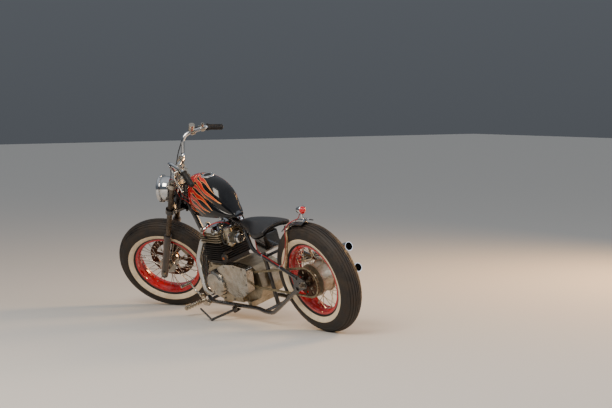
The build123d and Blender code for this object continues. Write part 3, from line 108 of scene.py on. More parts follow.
# %% Camera
CAMERA_FROM_AXLE = Vector((-8.20098, 6.43277, 1.12596))
CAMERA_YAW = math.radians(-37.6965)
CAMERA_PITCH = math.radians(-3.8200)
CAMERA_LENS = 105.103

camera_data = bpy.data.cameras.new("camera")
camera_data.lens = CAMERA_LENS
camera_data.sensor_width = 36.0
camera_data.clip_end = 200.0
camera = bpy.data.objects.new("camera", camera_data)
bpy.context.scene.collection.objects.link(camera)
camera.location = rear_axle + CAMERA_FROM_AXLE
camera.rotation_euler = (math.pi / 2 + CAMERA_PITCH, 0.0, CAMERA_YAW - math.pi / 2)
bpy.context.scene.camera = camera

# %% [markdown]
# Colours are written as the sRGB hex values that a paint chart gives. Blender's shaders work in
# linear light, so one function turns them. A second small function adds a shader node with its
# settings and its links, which keeps each material readable as a short recipe.

# %% Colours and nodes


def colour(hex_code, alpha=1.0):
    """sRGB hex to the linear colour that a shader takes."""
    parts = [int(hex_code[i:i + 2], 16) / 255.0 for i in (1, 3, 5)]
    linear = [p / 12.92 if p <= 0.04045 else ((p + 0.055) / 1.055) ** 2.4 for p in parts]
    return (*linear, alpha)


def add(tree, kind, values=None, links=None, **settings):
    """A shader node with its settings, its input values and what feeds its inputs."""
    node = tree.nodes.new(kind)
    for key, value in settings.items():
        setattr(node, key, value)
    for key, value in (values or {}).items():
        node.inputs[key].default_value = value
    for key, source in (links or {}).items():
        tree.links.new(source, node.inputs[key])
    return node


def material(name, values):
    """A node material with these values on its Principled shader, and its Object coordinates."""
    made = bpy.data.materials.new(name)
    made.use_nodes = True
    tree = made.node_tree
    shader = tree.nodes["Principled BSDF"]
    for key, value in values.items():
        shader.inputs[key].default_value = value
    place = add(tree, "ShaderNodeTexCoord").outputs["Object"]
    return made, tree, shader, place


def noise(tree, place, size_mm, detail=3.0, roughness=0.55):
    """A noise whose features are about this size on the real object."""
    return add(tree, "ShaderNodeTexNoise",
               {"Scale": 1000.0 / size_mm, "Detail": detail, "Roughness": roughness},
               {"Vector": place}).outputs["Fac"]


def spread(tree, value, low, high, start=0.35, end=0.65):
    """Turns a noise value between start and end into a number between low and high."""
    return add(tree, "ShaderNodeMapRange",
               {"From Min": start, "From Max": end, "To Min": low, "To Max": high},
               {"Value": value}, clamp=True).outputs["Result"]


def blend_colours(tree, factor, first, second):
    """Two colours, or a colour and a link, mixed by a factor."""
    mix = add(tree, "ShaderNodeMix", links={"Factor": factor}, data_type="RGBA")
    for key, value in ((6, first), (7, second)):
        if isinstance(value, str):
            mix.inputs[key].default_value = colour(value)
        else:
            tree.links.new(value, mix.inputs[key])
    return mix.outputs[2]


def relief(tree, shader, height, depth_mm, strength=1.0):
    """A bump of this depth, as on the real surface."""
    bump = add(tree, "ShaderNodeBump", {"Strength": strength, "Distance": depth_mm / 1000.0},
               {"Height": height})
    tree.links.new(bump.outputs["Normal"], shader.inputs["Normal"])


# %% [markdown]
# Gloss enamel is a hard paint under a clear coat. Sprayed paint dries with a faint waviness, a
# millimetre or two across, that bends reflections, and a machine on the road carries a little dust
# that dulls them in patches. Both are shallow noises: one in the bump, one in the roughness.

# %% Enamel


def enamel(name, hex_code, dust="#6b5a48", dust_share=0.10, roughness=0.16):
    made, tree, shader, place = material(name, {
        "Metallic": 0.0, "IOR": 1.5, "Coat Weight": 1.0, "Coat Roughness": 0.035,
    })
    patches = noise(tree, place, 60.0, 5.0)
    shade = blend_colours(tree, spread(tree, patches, 0.0, dust_share), hex_code, dust)
    tree.links.new(shade, shader.inputs["Base Color"])
    tree.links.new(spread(tree, patches, roughness, roughness + 0.16), shader.inputs["Roughness"])
    relief(tree, shader, noise(tree, place, 2.2, 1.0), 0.02, 0.35)
    return made


black_enamel = enamel("black_gloss_enamel", "#08080a")
red_enamel = enamel("red_gloss_enamel", "#c3101a", dust="#5a1512", dust_share=0.18)
fork_enamel = enamel("dark_brown_fork_enamel", "#241c1a", dust_share=0.3, roughness=0.3)
print("enamels made")

# %% [markdown]
# Chrome plate is a mirror with a cold tint. What shows that it is real are the faint smears and the
# fine wipe marks, so its roughness moves between a mirror and a slight haze. Polished aluminium is
# warmer and softer, and cast aluminium has the grain of the sand or the die, with oil and dust in it.

# %% Bare metals


def bare_metal(name, hex_code, stain, stain_share, rough_low, rough_high, grain_mm, depth_mm,
               patch_mm=45.0):
    made, tree, shader, place = material(name, {"Metallic": 1.0})
    patches = noise(tree, place, patch_mm, 6.0)
    shade = blend_colours(tree, spread(tree, patches, 0.0, stain_share), hex_code, stain)
    tree.links.new(shade, shader.inputs["Base Color"])
    smears = noise(tree, place, patch_mm / 6.0, 4.0)
    tree.links.new(spread(tree, smears, rough_low, rough_high), shader.inputs["Roughness"])
    relief(tree, shader, noise(tree, place, grain_mm, 2.0), depth_mm, 0.6)
    return made


chrome = bare_metal("chrome_plate", "#dcdee0", "#b9b6b0", 0.5, 0.03, 0.10, 3.0, 0.006)
cast_alloy = bare_metal("cast_aluminium", "#c2b6a0", "#82735a", 0.55, 0.32, 0.55, 1.2, 0.10, 30.0)
polished_alloy = bare_metal("polished_aluminium", "#c9c4ba", "#8a7a62", 0.55, 0.12, 0.30, 2.0, 0.012)
zinc_steel = bare_metal("zinc_plated_steel", "#a3a098", "#6a5a44", 0.6, 0.22, 0.45, 1.0, 0.02)
chain_steel = bare_metal("oiled_chain_steel", "#b3a88e", "#665640", 0.6, 0.35, 0.55, 2.0, 0.03, 20.0)
browned_steel = bare_metal("browned_disc_steel", "#5a4032", "#2e2019", 0.7, 0.28, 0.5, 1.5, 0.02, 25.0)
dark_plate = bare_metal("darkened_fork_plate", "#6e645a", "#3c342c", 0.7, 0.18, 0.35, 2.0, 0.01)
brass = bare_metal("brass", "#c9a04e", "#7a5a2a", 0.5, 0.18, 0.35, 1.0, 0.01)
print("metals made")

# %% [markdown]
# The cylinder is stove-black with a matt, slightly grainy film. Rubber is never pure black on a
# used machine: it has a brown-grey bloom, so its base colour moves between two dark greys.

# %% Engine black, rubber and plastics


def matt(name, hex_code, second, share, rough_low, rough_high, grain_mm, depth_mm, values=None):
    made, tree, shader, place = material(name, {"Metallic": 0.0, "IOR": 1.5, **(values or {})})
    patches = noise(tree, place, 35.0, 5.0)
    shade = blend_colours(tree, spread(tree, patches, 0.0, share), hex_code, second)
    tree.links.new(shade, shader.inputs["Base Color"])
    tree.links.new(spread(tree, patches, rough_low, rough_high), shader.inputs["Roughness"])
    relief(tree, shader, noise(tree, place, grain_mm, 2.0), depth_mm, 0.8)
    return made


engine_black = matt("stove_black_engine_paint", "#131315", "#3a3028", 0.5, 0.38, 0.6, 1.0, 0.05)
black_rubber = matt("black_moulded_rubber", "#121212", "#2a2622", 0.6, 0.5, 0.75, 0.8, 0.04)
bead_rubber = matt("tyre_bead_rubber", "#171412", "#2a241e", 0.5, 0.45, 0.65, 1.0, 0.03)
cream_rubber = matt("cream_sidewall_rubber", "#f4e2c4", "#c8ab80", 0.4, 0.42, 0.6, 1.5, 0.04)
red_sleeve = matt("red_silicone_sleeve", "#b01218", "#6a1010", 0.4, 0.3, 0.45, 0.6, 0.02)
black_sleeve = matt("black_cable_sleeve", "#141416", "#2c2a28", 0.5, 0.35, 0.5, 0.6, 0.02)
# A near-black finish for the discs set across the tail pipes' bores: painted shade of the pipes' deep insides.
painted_pipe_shade = matt("painted_pipe_shade_finish", "#0b0a09", "#1c1712", 0.5, 0.8, 0.95, 2.0, 0.1)
print("matt finishes made")

# %% [markdown]
# Tyre tread is rubber with a moulded pattern. The circumferential ribs are real geometry on the
# tyre below. The small cuts across them are too many to model, so they are a wave along the
# tread's own UV map, whose U runs round the wheel in metres, one cut about each 18 mm. At a scale of
# one, Blender's band wave turns 20 radians in a metre, and that gives the scale.

# %% Tread rubber
SIPE_PITCH = 17.765
WAVE_TURN = 20.0
tread_rubber, tree, shader, place = material("ribbed_tread_rubber", {"Metallic": 0.0, "IOR": 1.5})
patches = noise(tree, place, 50.0, 6.0)
shade = blend_colours(tree, spread(tree, patches, 0.0, 0.9), "#1a1613", "#3a3026")
tree.links.new(shade, shader.inputs["Base Color"])
tree.links.new(spread(tree, patches, 0.5, 0.8), shader.inputs["Roughness"])
uv = add(tree, "ShaderNodeUVMap", uv_map="tyre")
sipes = add(tree, "ShaderNodeTexWave",
            {"Scale": 2 * math.pi / WAVE_TURN * 1000.0 / SIPE_PITCH, "Distortion": 0.4},
            {"Vector": uv.outputs["UV"]}, wave_type="BANDS", bands_direction="X")
relief(tree, shader, spread(tree, sipes.outputs["Fac"], 0.0, 1.0, 0.0, 0.25), 0.8, 0.7)

# %% [markdown]
# Leather on a solo seat is drum-dyed hide. Its grain is a net of small rounded cells about 1.5 mm
# across, which a Voronoi distance draws well, and the wax finish gives it a soft, uneven gloss.

# %% Leather
leather, tree, shader, place = material("black_seat_leather",
                                        {"Metallic": 0.0, "IOR": 1.5, "Coat Weight": 0.25,
                                         "Coat Roughness": 0.3})
cells = add(tree, "ShaderNodeTexVoronoi", {"Scale": 1000.0 / 2.4}, {"Vector": place},
            feature="DISTANCE_TO_EDGE")
creases = noise(tree, place, 14.0, 5.0)
worn = noise(tree, place, 70.0, 4.0)
shade = blend_colours(tree, spread(tree, worn, 0.0, 0.7), "#101012", "#2b2a2b")
tree.links.new(shade, shader.inputs["Base Color"])
tree.links.new(spread(tree, worn, 0.28, 0.46), shader.inputs["Roughness"])
height = add(tree, "ShaderNodeMath", {1: 0.35},
             {0: creases, 2: spread(tree, cells.outputs["Distance"], 0.0, 1.0, 0.0, 0.12)},
             operation="MULTIPLY_ADD")
relief(tree, shader, height.outputs[0], 0.25, 0.6)

# %% [markdown]
# Glass lets light through, with the pressed flutes of a headlamp as a fine wave. The red lens is
# dyed acrylic: the same recipe with a deep colour and a little haze.

# %% Glass
clear_glass, tree, shader, place = material("headlamp_glass", {
    "Base Color": colour("#eef4f4"), "Roughness": 0.03, "IOR": 1.5, "Transmission Weight": 0.95,
})
relief(tree, shader, noise(tree, place, 6.0, 1.0), 0.15, 0.4)
red_lens, tree, shader, place = material("red_acrylic_lens", {
    "Base Color": colour("#d01420"), "Roughness": 0.08, "IOR": 1.49, "Transmission Weight": 0.35,
    "Emission Color": colour("#c01018"), "Emission Strength": 0.12, "Coat Weight": 0.6,
    "Coat Roughness": 0.05,
})
relief(tree, shader, noise(tree, place, 4.0, 1.0), 0.2, 0.5)

# %% [markdown]
# Each CAD node has a slot name in its record. The table gives every slot its finish, so a new finish is
# one line here. The pieces that are drawn below take their finishes one by one.

# %% Give every CAD node its finish
FINISHES = {
    "black_gloss_paint": black_enamel,
    "tank_paint": black_enamel,
    "red_rim_paint": red_enamel,
    "black_engine_paint": engine_black,
    "dark_fork_paint": fork_enamel,
    "chrome": chrome,
    "cast_aluminium": cast_alloy,
    "polished_aluminium": polished_alloy,
    "zinc_steel": zinc_steel,
    "chain_steel": chain_steel,
    "brown_steel": browned_steel,
    "tyre_rubber": tread_rubber,
    "black_rubber": black_rubber,
    "black_leather": leather,
    "clear_glass": clear_glass,
    "red_lens": red_lens,
}
slot_of = {part["node"]: part["material_slot"] for part in frame["record"]["subparts"]}
for name, node in nodes.items():
    node.data.materials.clear()
    node.data.materials.append(FINISHES[slot_of[name]])
# These three look different in the photograph from what their slots' names say
for name, finish in (("fork_stanchions", dark_plate), ("cylinder_head", cast_alloy),
                     ("foot_pegs", polished_alloy)):
    nodes[name].data.materials[0] = finish
print(len(nodes), "CAD nodes dressed")

# %% [markdown]
# One helper turns a bmesh drawn in a working frame into a finished piece: it merges doubles, makes
# the faces point outwards, moves the mesh to its place, shades it smooth up to a crease angle and
# lets it ride on its CAD body.

# %% Piece helper


def piece(name, bm, place, finishes, body, crease=35.0, outwards=True):
    """A finished piece from a bmesh in millimetres, riding on a CAD body."""
    bmesh.ops.remove_doubles(bm, verts=bm.verts[:], dist=0.002)
    if outwards:
        bmesh.ops.recalc_face_normals(bm, faces=bm.faces[:])
    for face in bm.faces:
        face.smooth = True
    bmesh.ops.transform(bm, matrix=place, verts=bm.verts[:])
    for edge in bm.edges:
        edge.smooth = len(edge.link_faces) < 2 or edge.calc_face_angle(0.0) < math.radians(crease)
    mesh = bpy.data.meshes.new(name)
    bm.to_mesh(mesh)
    bm.free()
    for finish in finishes if isinstance(finishes, (list, tuple)) else [finishes]:
        mesh.materials.append(finish)
    made = bpy.data.objects.new(name, mesh)
    bpy.context.scene.collection.objects.link(made)
    if body:
        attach(made, body)
    return made


def turned_ring(bm, profile, steps=96):
    """Spins an outline of (radius, y) points once about the wheel's axle line."""
    verts = [bm.verts.new((r, y, 0.0)) for r, y in profile]
    edges = [bm.edges.new(pair) for pair in zip(verts, verts[1:] + verts[:1])]
    bmesh.ops.spin(bm, geom=verts + edges, cent=(0, 0, 0), axis=(0, 1, 0), angle=2 * math.pi, steps=steps,
                   use_merge=True)


# %% [markdown]
# The tyre carries the look of the wheel: a round crown with seven grooves round it, a cream band on
# the sidewall and a thin black bead beside the red rim. A tyre is the same all the way round, so one
# half outline is drawn, mirrored and spun about the axle with bmesh.ops.spin.

# %% Tyres
CROWN_CENTRE = 275.0
SECTION = 66.0
GROOVES = (0.0, 13.0, 27.0, 41.0)
GROOVE_HALF = 1.9
GROOVE_DEPTH = 4.0
CREAM_FROM, CREAM_TO = 230.0, 261.0


def crown_point(angle, inset=0.0):
    """A point of the round crown, by its angle from the middle of the tread."""
    turn = math.radians(angle)
    return CROWN_CENTRE + (SECTION - inset) * math.cos(turn), (SECTION - inset) * math.sin(turn)


def half_tyre():
    """The left half of a tyre's outside, from the middle of the tread to the bead."""
    points = []
    for angle in GROOVES:
        if angle > 0.0:
            points += [crown_point(angle - GROOVE_HALF - 3.0, 0.2), crown_point(angle - GROOVE_HALF),
                       crown_point(angle - GROOVE_HALF * 0.7, GROOVE_DEPTH)]
        points += [crown_point(angle + GROOVE_HALF * 0.7, GROOVE_DEPTH), crown_point(angle + GROOVE_HALF),
                   crown_point(angle + GROOVE_HALF + 3.0, 0.2)]
    points += [crown_point(50.0, 0.0), crown_point(54.0, 0.3), crown_point(56.0, 2.2),
               crown_point(64.0, 2.6), crown_point(66.0, 1.6)]
    points += [crown_point(angle, 1.2) for angle in (72.0, 78.0, 84.0)]
    points += [(277.5, 64.9), (270.0, 64.9), (264.0, 64.2), (262.0, 63.6), (261.0, 64.4), (256.0, 63.9),
               (246.0, 60.6),
               (238.0, 56.8), (231.0, 52.4), (230.0, 50.6), (226.0, 48.2), (222.0, 46.0), (220.0, 45.4),
               (219.6, 44.4)]
    return points


def tyre_piece(name, place, body, node):
    half = half_tyre()
    closed = [(r, -y) for r, y in reversed(half)] + half + [(216.0, 40.0), (212.0, 36.0), (212.0, -36.0),
                                                            (216.0, -40.0)]
    bm = bmesh.new()
    turned_ring(bm, closed, 128)
    layer = bm.loops.layers.uv.new("tyre")
    for face in bm.faces:
        centre = face.calc_center_median()
        radius = math.hypot(centre.x, centre.z)
        cream = CREAM_FROM < radius < CREAM_TO and abs(centre.y) > 50.0
        face.material_index = 1 if cream else (2 if radius < CREAM_FROM else 0)
        middle = math.atan2(centre.z, centre.x)
        for loop in face.loops:
            x, y, z = loop.vert.co
            turn = math.atan2(z, x)
            if turn - middle < -math.pi:
                turn += 2 * math.pi
            elif turn - middle > math.pi:
                turn -= 2 * math.pi
            loop[layer].uv = (turn * WHEEL_RADIUS, y * 0.001)
    made = piece(name, bm, place, [tread_rubber, cream_rubber, bead_rubber], body, 28.0)
    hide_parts(node)
    return made


for tyre in (tyre_piece("rear_ribbed_tyre", REAR_WHEEL, "rear_wheel", "rear_tyre"),
             tyre_piece("front_ribbed_tyre", FRONT_WHEEL, "front_wheel", "front_tyre")):
    print(tyre.name, len(tyre.data.polygons), "faces")

# %% [markdown]
# Each spoke ends in a nipple that sits in the rim's well. The hub's CAD solid has the spokes, and the
# same numbers place forty small tapered nipples a wheel. One bmesh cone with eight sides is enough
# for a shape that is 12 mm long and repeated eighty times.

# %% Spoke nipples and valve stems
SPOKE_PAIRS = 20
SPOKE_SPREAD = 3.2
WELL = 195.0


def cone_between(bm, start, end, radius, end_radius, segments=12):
    """A capped cone from one point to another."""
    start, end = Vector(start), Vector(end)
    run = end - start
    matrix = Matrix.Translation((start + end) / 2) @ run.to_track_quat("Z", "Y").to_matrix().to_4x4()
    return bmesh.ops.create_cone(bm, cap_ends=True, segments=segments, radius1=radius, radius2=end_radius,
                                 depth=run.length, matrix=matrix)["verts"]


def wheel_details(name, place, body, flange_radius, flange_y):
    bm = bmesh.new()
    step = 2 * math.pi / SPOKE_PAIRS
    for side in (1, -1):
        for number in range(SPOKE_PAIRS):
            lead = 1 if number % 2 else -1
            hub_angle = number * step + (0.0 if side > 0 else step / 2)
            rim_angle = hub_angle + lead * step * 0.9
            near = Vector(((flange_radius - 4) * math.cos(hub_angle),
                           side * (flange_y + lead * SPOKE_SPREAD),
                           (flange_radius - 4) * math.sin(hub_angle)))
            far = Vector((WELL * math.cos(rim_angle), side * 6.0, WELL * math.sin(rim_angle)))
            run = (near - far).normalized()
            cone_between(bm, far + run * 0.4, far + run * 13.0, 3.6, 2.6, 8)
    valve = Vector((math.cos(0.4), 0, math.sin(0.4)))
    cone_between(bm, valve * 196.0 + Vector((0, -9, 0)), valve * 176.0 + Vector((0, -12, 0)), 3.4, 2.8)
    cone_between(bm, valve * 176.0 + Vector((0, -12, 0)), valve * 166.0 + Vector((0, -13.5, 0)), 4.2, 4.0)
    return piece(name, bm, place, polished_alloy, body)


wheel_details("rear_spoke_nipples", REAR_WHEEL, "rear_wheel", 100.0, 44.0)
wheel_details("front_spoke_nipples", FRONT_WHEEL, "front_wheel", 56.0, 34.0)
print("nipples on both wheels")

# %% [markdown]
# The tank is the face of the machine. Its shell is drawn again here as a fine, even grid, because the
# flames need a point every few millimetres. Each cross-section is three arcs through measured points,
# and the sections are eased into each other with a Catmull-Rom spline. Loops of such points are bridged
# into a skin with bmesh.ops.bridge_loops.

# %% Tank sections
SIDE_STEPS, CREST_STEPS, BASE_STEPS = 34, 64, 16
# Columns: x, crest z, ridge half-width, ridge z, widest half-width, its z, bottom half-width, bottom z
TANK_SECTIONS = [
    (1046.0, 922.0, 38.0, 890.0, 54.0, 842.0, 44.0, 780.0),
    (1022.0, 945.0, 56.0, 903.0, 86.0, 812.0, 74.0, 722.0),
    (950.0, 957.0, 78.0, 895.0, 107.0, 800.0, 92.0, 709.0),
    (880.0, 951.0, 86.0, 862.0, 114.0, 784.0, 98.0, 706.0),
    (800.0, 924.0, 84.0, 808.0, 104.0, 758.0, 90.0, 702.0),
    (740.0, 874.0, 74.0, 760.0, 87.0, 730.0, 76.0, 699.0),
    (690.0, 792.0, 56.0, 727.0, 63.0, 712.0, 55.0, 695.0),
    (646.0, 720.0, 30.0, 706.0, 32.0, 698.0, 28.0, 690.0),
]


def eased_rows(rows, steps):
    """Rows between the given ones, on a Catmull-Rom spline through them."""
    table = np.array(rows)
    table = np.vstack([2 * table[0] - table[1], table, 2 * table[-1] - table[-2]])
    made = []
    for n in range(1, len(table) - 2):
        a, b, c, d = table[n - 1:n + 3]
        for share in np.linspace(0.0, 1.0, steps, endpoint=False):
            made.append(0.5 * (2 * b + (c - a) * share + (2 * a - 5 * b + 4 * c - d) * share ** 2
                               + (3 * b - a - 3 * c + d) * share ** 3))
    return [*made, table[-2]]


def arc_through(start, middle, end, count):
    """Points along the circle through three points, from start up to but not including end."""
    a, b, c = (np.array(p) for p in (start, middle, end))
    ab, ac = b - a, c - a
    turn = 2 * (ab[0] * ac[1] - ab[1] * ac[0])
    if abs(turn) < 1e-9:
        return [tuple(a + (c - a) * n / count) for n in range(count)]
    lift = np.array([ac[1] * ab.dot(ab) - ab[1] * ac.dot(ac),
                     ab[0] * ac.dot(ac) - ac[0] * ab.dot(ab)]) / turn
    centre = a + lift
    first, last = (math.atan2(*(p - centre)[::-1]) for p in (a, c))
    mid = math.atan2(*(b - centre)[::-1])
    sweep = (last - first) % (2 * math.pi)
    if (mid - first) % (2 * math.pi) > sweep:
        sweep -= 2 * math.pi
    radius = np.linalg.norm(lift)
    return [(centre[0] + radius * math.cos(first + sweep * n / count),
             centre[1] + radius * math.sin(first + sweep * n / count))
            for n in range(count)]


def tank_loop(row):
    """One cross-section's points as (y, z), from the left bottom corner over the crest to the right."""
    x, crest, ridge_y, ridge_z, wide_y, wide_z, low_y, low_z = row
    low = arc_through((low_y, low_z), (wide_y, wide_z), (ridge_y, ridge_z), SIDE_STEPS)
    top = arc_through((ridge_y, ridge_z), (0.0, crest), (-ridge_y, ridge_z), CREST_STEPS)
    down = arc_through((-ridge_y, ridge_z), (-wide_y, wide_z), (-low_y, low_z), SIDE_STEPS)
    base = arc_through((-low_y, low_z), (0.0, low_z - 0.01), (low_y, low_z), BASE_STEPS)
    return low + top + down + base


def skin(bm, loops, cap=True):
    """Bridges closed loops of points into a skin, and closes its two ends."""
    rings = []
    for points in loops:
        verts = [bm.verts.new(p) for p in points]
        rings.append([bm.edges.new(pair) for pair in zip(verts, verts[1:] + verts[:1])])
    for first, second in zip(rings, rings[1:]):
        bmesh.ops.bridge_loops(bm, edges=first + second)
    if cap:
        for loop in (rings[0], rings[-1]):
            bmesh.ops.contextual_create(bm, geom=loop)


# %% [markdown]
# The flames are drawn as on a hot-rod tank: a red nose that breaks into licking tongues, with round
# black bays between them. A tongue is a row of circles that shrink towards its tip, and a bay is the
# same thing taken away. For every point of the tank the signed distance to this outline is worked out
# and kept as an attribute, so the shader can draw a thin light pinstripe exactly along the edge.
# A measured stencil or a picture would not scale like this, and a picture would not be our own work.

# %% Flame layout
# Each row: points (distance back from the nose, height above the ridge line), then the radius at
# the root and at the tip
TONGUES = [
    ([(0, -22), (70, -20), (135, -32), (200, -22), (270, -38)], 34, 1.5),
    ([(0, -62), (70, -68), (130, -60), (190, -76), (250, -66)], 32, 1.2),
    ([(0, -102), (55, -102), (100, -114), (150, -104), (200, -116)], 28, 1.2),
    ([(0, -142), (45, -142), (90, -152), (140, -144)], 26, 1.0),
    ([(0, 14), (70, 12), (135, 22), (210, 6), (285, 16)], 33, 1.2),
    ([(0, 52), (70, 50), (145, 62), (215, 46), (290, 58), (335, 50)], 35, 1.2),
    ([(0, 92), (70, 92), (140, 84), (210, 98), (295, 88)], 34, 1.2),
    ([(0, 128), (60, 130), (115, 122), (180, 134)], 28, 1.2),
]
BAYS = [
    ([(108, -44), (135, -46), (170, -48)], 10, 2),
    ([(90, -86), (115, -88), (145, -90)], 9, 2),
    ([(54, -126), (78, -128), (106, -132)], 9, 2),
    ([(118, 36), (145, 38), (185, 32)], 10, 2),
    ([(130, 74), (160, 74), (200, 72)], 10, 2),
    ([(105, 112), (130, 108), (165, 112)], 9, 2),
    ([(100, -4), (125, -6), (160, -8)], 8, 2),
]


def smooth_row(points, steps):
    return np.array(eased_rows(points, steps))


def row_distance(places, points, root, tip):
    """Signed distance from each place to a row of shrinking circles."""
    path = smooth_row(points, 14)
    radii = root + (tip - root) * np.linspace(0.0, 1.0, len(path)) ** 0.85
    gaps = np.linalg.norm(places[:, None, :] - path[None, :, :], axis=2) - radii[None, :]
    return gaps.min(axis=1)


def flame_distance(places):
    """Signed distance to the flames' outline: below zero inside, above zero on the black."""
    inside = np.min([row_distance(places, *row) for row in TONGUES], axis=0)
    bays = np.min([row_distance(places, *row) for row in BAYS], axis=0)
    return np.maximum(inside, -bays)


tank_rows = eased_rows(TANK_SECTIONS, 14)
bm = bmesh.new()
skin(bm, [[(row[0], y, z) for y, z in tank_loop(row)] for row in tank_rows])
bm.verts.ensure_lookup_table()
RIDGE = SIDE_STEPS
MIDDLE = RIDGE + CREST_STEPS // 2
FAR_RIDGE = RIDGE + CREST_STEPS
COUNT = 2 * SIDE_STEPS + CREST_STEPS + BASE_STEPS
index = np.arange(COUNT)
ridge_height = []
for row in tank_rows:
    loop = np.array(tank_loop(row))
    steps_along = np.linalg.norm(np.diff(loop, axis=0, append=loop[:1]), axis=1)
    along = np.concatenate([[0.0], np.cumsum(steps_along)[:-1]])
    # Both sides count up to the middle of the crest, so the far side mirrors the near one
    height = np.where(index <= MIDDLE, along - along[RIDGE], along[FAR_RIDGE] - along)
    ridge_height.append(height)
heights = np.concatenate(ridge_height)
backs = np.repeat([TANK_SECTIONS[0][0] - row[0] for row in tank_rows], COUNT)
distance = flame_distance(np.column_stack([backs, heights]))
for layer_name in ("flame_gap", "back"):
    bm.verts.layers.float.new(layer_name)
flame_layer, back_layer = (bm.verts.layers.float[layer_name] for layer_name in ("flame_gap", "back"))
for vert, gap, back in zip(bm.verts, distance, backs):
    vert[flame_layer] = gap
    vert[back_layer] = back
print("tank grid", len(bm.verts), "points, flames on", int((distance < 0).sum()))

# %% [markdown]
# The tank's enamel mixes by that attribute: black outside, then the pinstripe over the edge, then the
# flame's own colours, which run from deep red at the nose to orange at the tips. A clear coat covers
# all of them, so the stripe has no step.

# %% Tank enamel
tank_enamel, tree, shader, place = material("flamed_tank_enamel", {
    "Metallic": 0.0, "IOR": 1.5, "Specular IOR Level": 0.2, "Coat Weight": 0.8, "Coat Roughness": 0.02,
})
gap = add(tree, "ShaderNodeAttribute", attribute_name="flame_gap").outputs["Fac"]
back = add(tree, "ShaderNodeAttribute", attribute_name="back").outputs["Fac"]
heat = spread(tree, back, 0.0, 1.0, 110.0, 320.0)
flame_colour = blend_colours(tree, heat, "#b80f18", "#dc3f1a")
edge_heat = spread(tree, gap, 0.0, 0.8, -6.0, -1.0)
flame_colour = blend_colours(tree, edge_heat, flame_colour, "#ee6a26")
on_flame = spread(tree, gap, 1.0, 0.0, -0.4, 0.4)
on_stripe = spread(tree, add(tree, "ShaderNodeMath", links={0: gap}, operation="ABSOLUTE").outputs[0], 1.0,
                   0.0, 0.6, 1.2)
paint = blend_colours(tree, on_flame, "#07070a", flame_colour)
paint = blend_colours(tree, on_stripe, paint, "#f2b074")
tree.links.new(paint, shader.inputs["Base Color"])
tree.links.new(spread(tree, noise(tree, place, 60.0, 5.0), 0.12, 0.24), shader.inputs["Roughness"])
relief(tree, shader, noise(tree, place, 2.2, 1.0), 0.02, 0.3)
tank = piece("flamed_tank_shell", bm, BIKE, tank_enamel, "frame", 50.0)
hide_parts("fuel_tank")

# %% [markdown]
# The solo seat sits low in front of the fender: flat and narrow at the nose, wide and drooping at the
# back. The CAD solid is higher and reaches further back, so the saddle is skinned here from its own
# cross-sections before the foam is inflated. Its steel pan is the same sections, drawn thinner and
# lower, and the pan replaces the CAD one.

# %% Seat form
# Columns: x, half-width, top z, shoulder z, edge z of the seat
SEAT_SECTIONS = [
    (622.0, 30.0, 668.0, 660.0, 649.0),
    (560.0, 50.0, 678.0, 658.0, 628.0),
    (480.0, 84.0, 681.0, 646.0, 616.0),
    (410.0, 118.0, 679.0, 634.0, 606.0),
    (347.0, 131.0, 674.0, 630.0, 602.0),
    (292.0, 106.0, 666.0, 645.0, 618.0),
]
UNDERSIDE_SHARE = 0.45
PAN_WALL = 4.0


def seat_loop(row):
    """A saddle-shaped slice as (y, z): a crowned top, drooping sides and a hollow underside."""
    x, half, top, shoulder, edge = row
    under = top - (top - edge) * UNDERSIDE_SHARE
    over = arc_through((-half, shoulder), (0.0, top), (half, shoulder), 24)
    side = arc_through((half, shoulder), (half * 0.985, (shoulder + edge) / 2), (half * 0.94, edge), 6)
    below = arc_through((half * 0.94, edge), (0.0, under), (-half * 0.94, edge), 24)
    far = arc_through((-half * 0.94, edge), (-half * 0.985, (shoulder + edge) / 2), (-half, shoulder), 6)
    return over + side + below + far


def pan_loop(row):
    """A slice of the steel base that follows the cushion's hollow underside."""
    x, half, top, shoulder, edge = row
    under = top - (top - edge) * UNDERSIDE_SHARE - 0.5
    wide = half * 0.93
    over = arc_through((-wide, edge - 0.5), (0.0, under), (wide, edge - 0.5), 24)
    below = arc_through((wide, edge - 0.5 - PAN_WALL), (0.0, under - PAN_WALL),
                        (-wide, edge - 0.5 - PAN_WALL), 24)
    return over + [(wide, edge - 0.5)] + below + [(-wide, edge - 0.5 - PAN_WALL)]


seat_rows = eased_rows(SEAT_SECTIONS, 6)
bm = bmesh.new()
skin(bm, [[(row[0], y, z) for y, z in pan_loop(row)] for row in seat_rows])
cone_between(bm, (612, -8, 646), (612, 8, 646), 9.0, 9.0, 12)
for side in (1, -1):
    cone_between(bm, (410, side * 34, 604), (410, side * 34, 636), 11.0, 11.0, 20)
pan = piece("steel_seat_pan", bm, BIKE, black_enamel, "frame", 40.0)
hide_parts("seat_pan")
bm = bmesh.new()
skin(bm, [[(row[0], y, z) for y, z in seat_loop(row)] for row in seat_rows])
seat_form = piece("seat_form", bm, BIKE, leather, None, 60.0)
print("seat skinned from", len(seat_rows), "sections")

# %% [markdown]
# The seat is leather over foam. The skinned form is remeshed and inflated by the cloth simulation, so
# the foam swells the leather between the rim and the crown, and one subdivision smooths it. How far a
# point may move is capped, so the pad stays in its place.

# %% Seat pad
SWELL_CAP = 0.007
CLOTH_FRAMES = 12


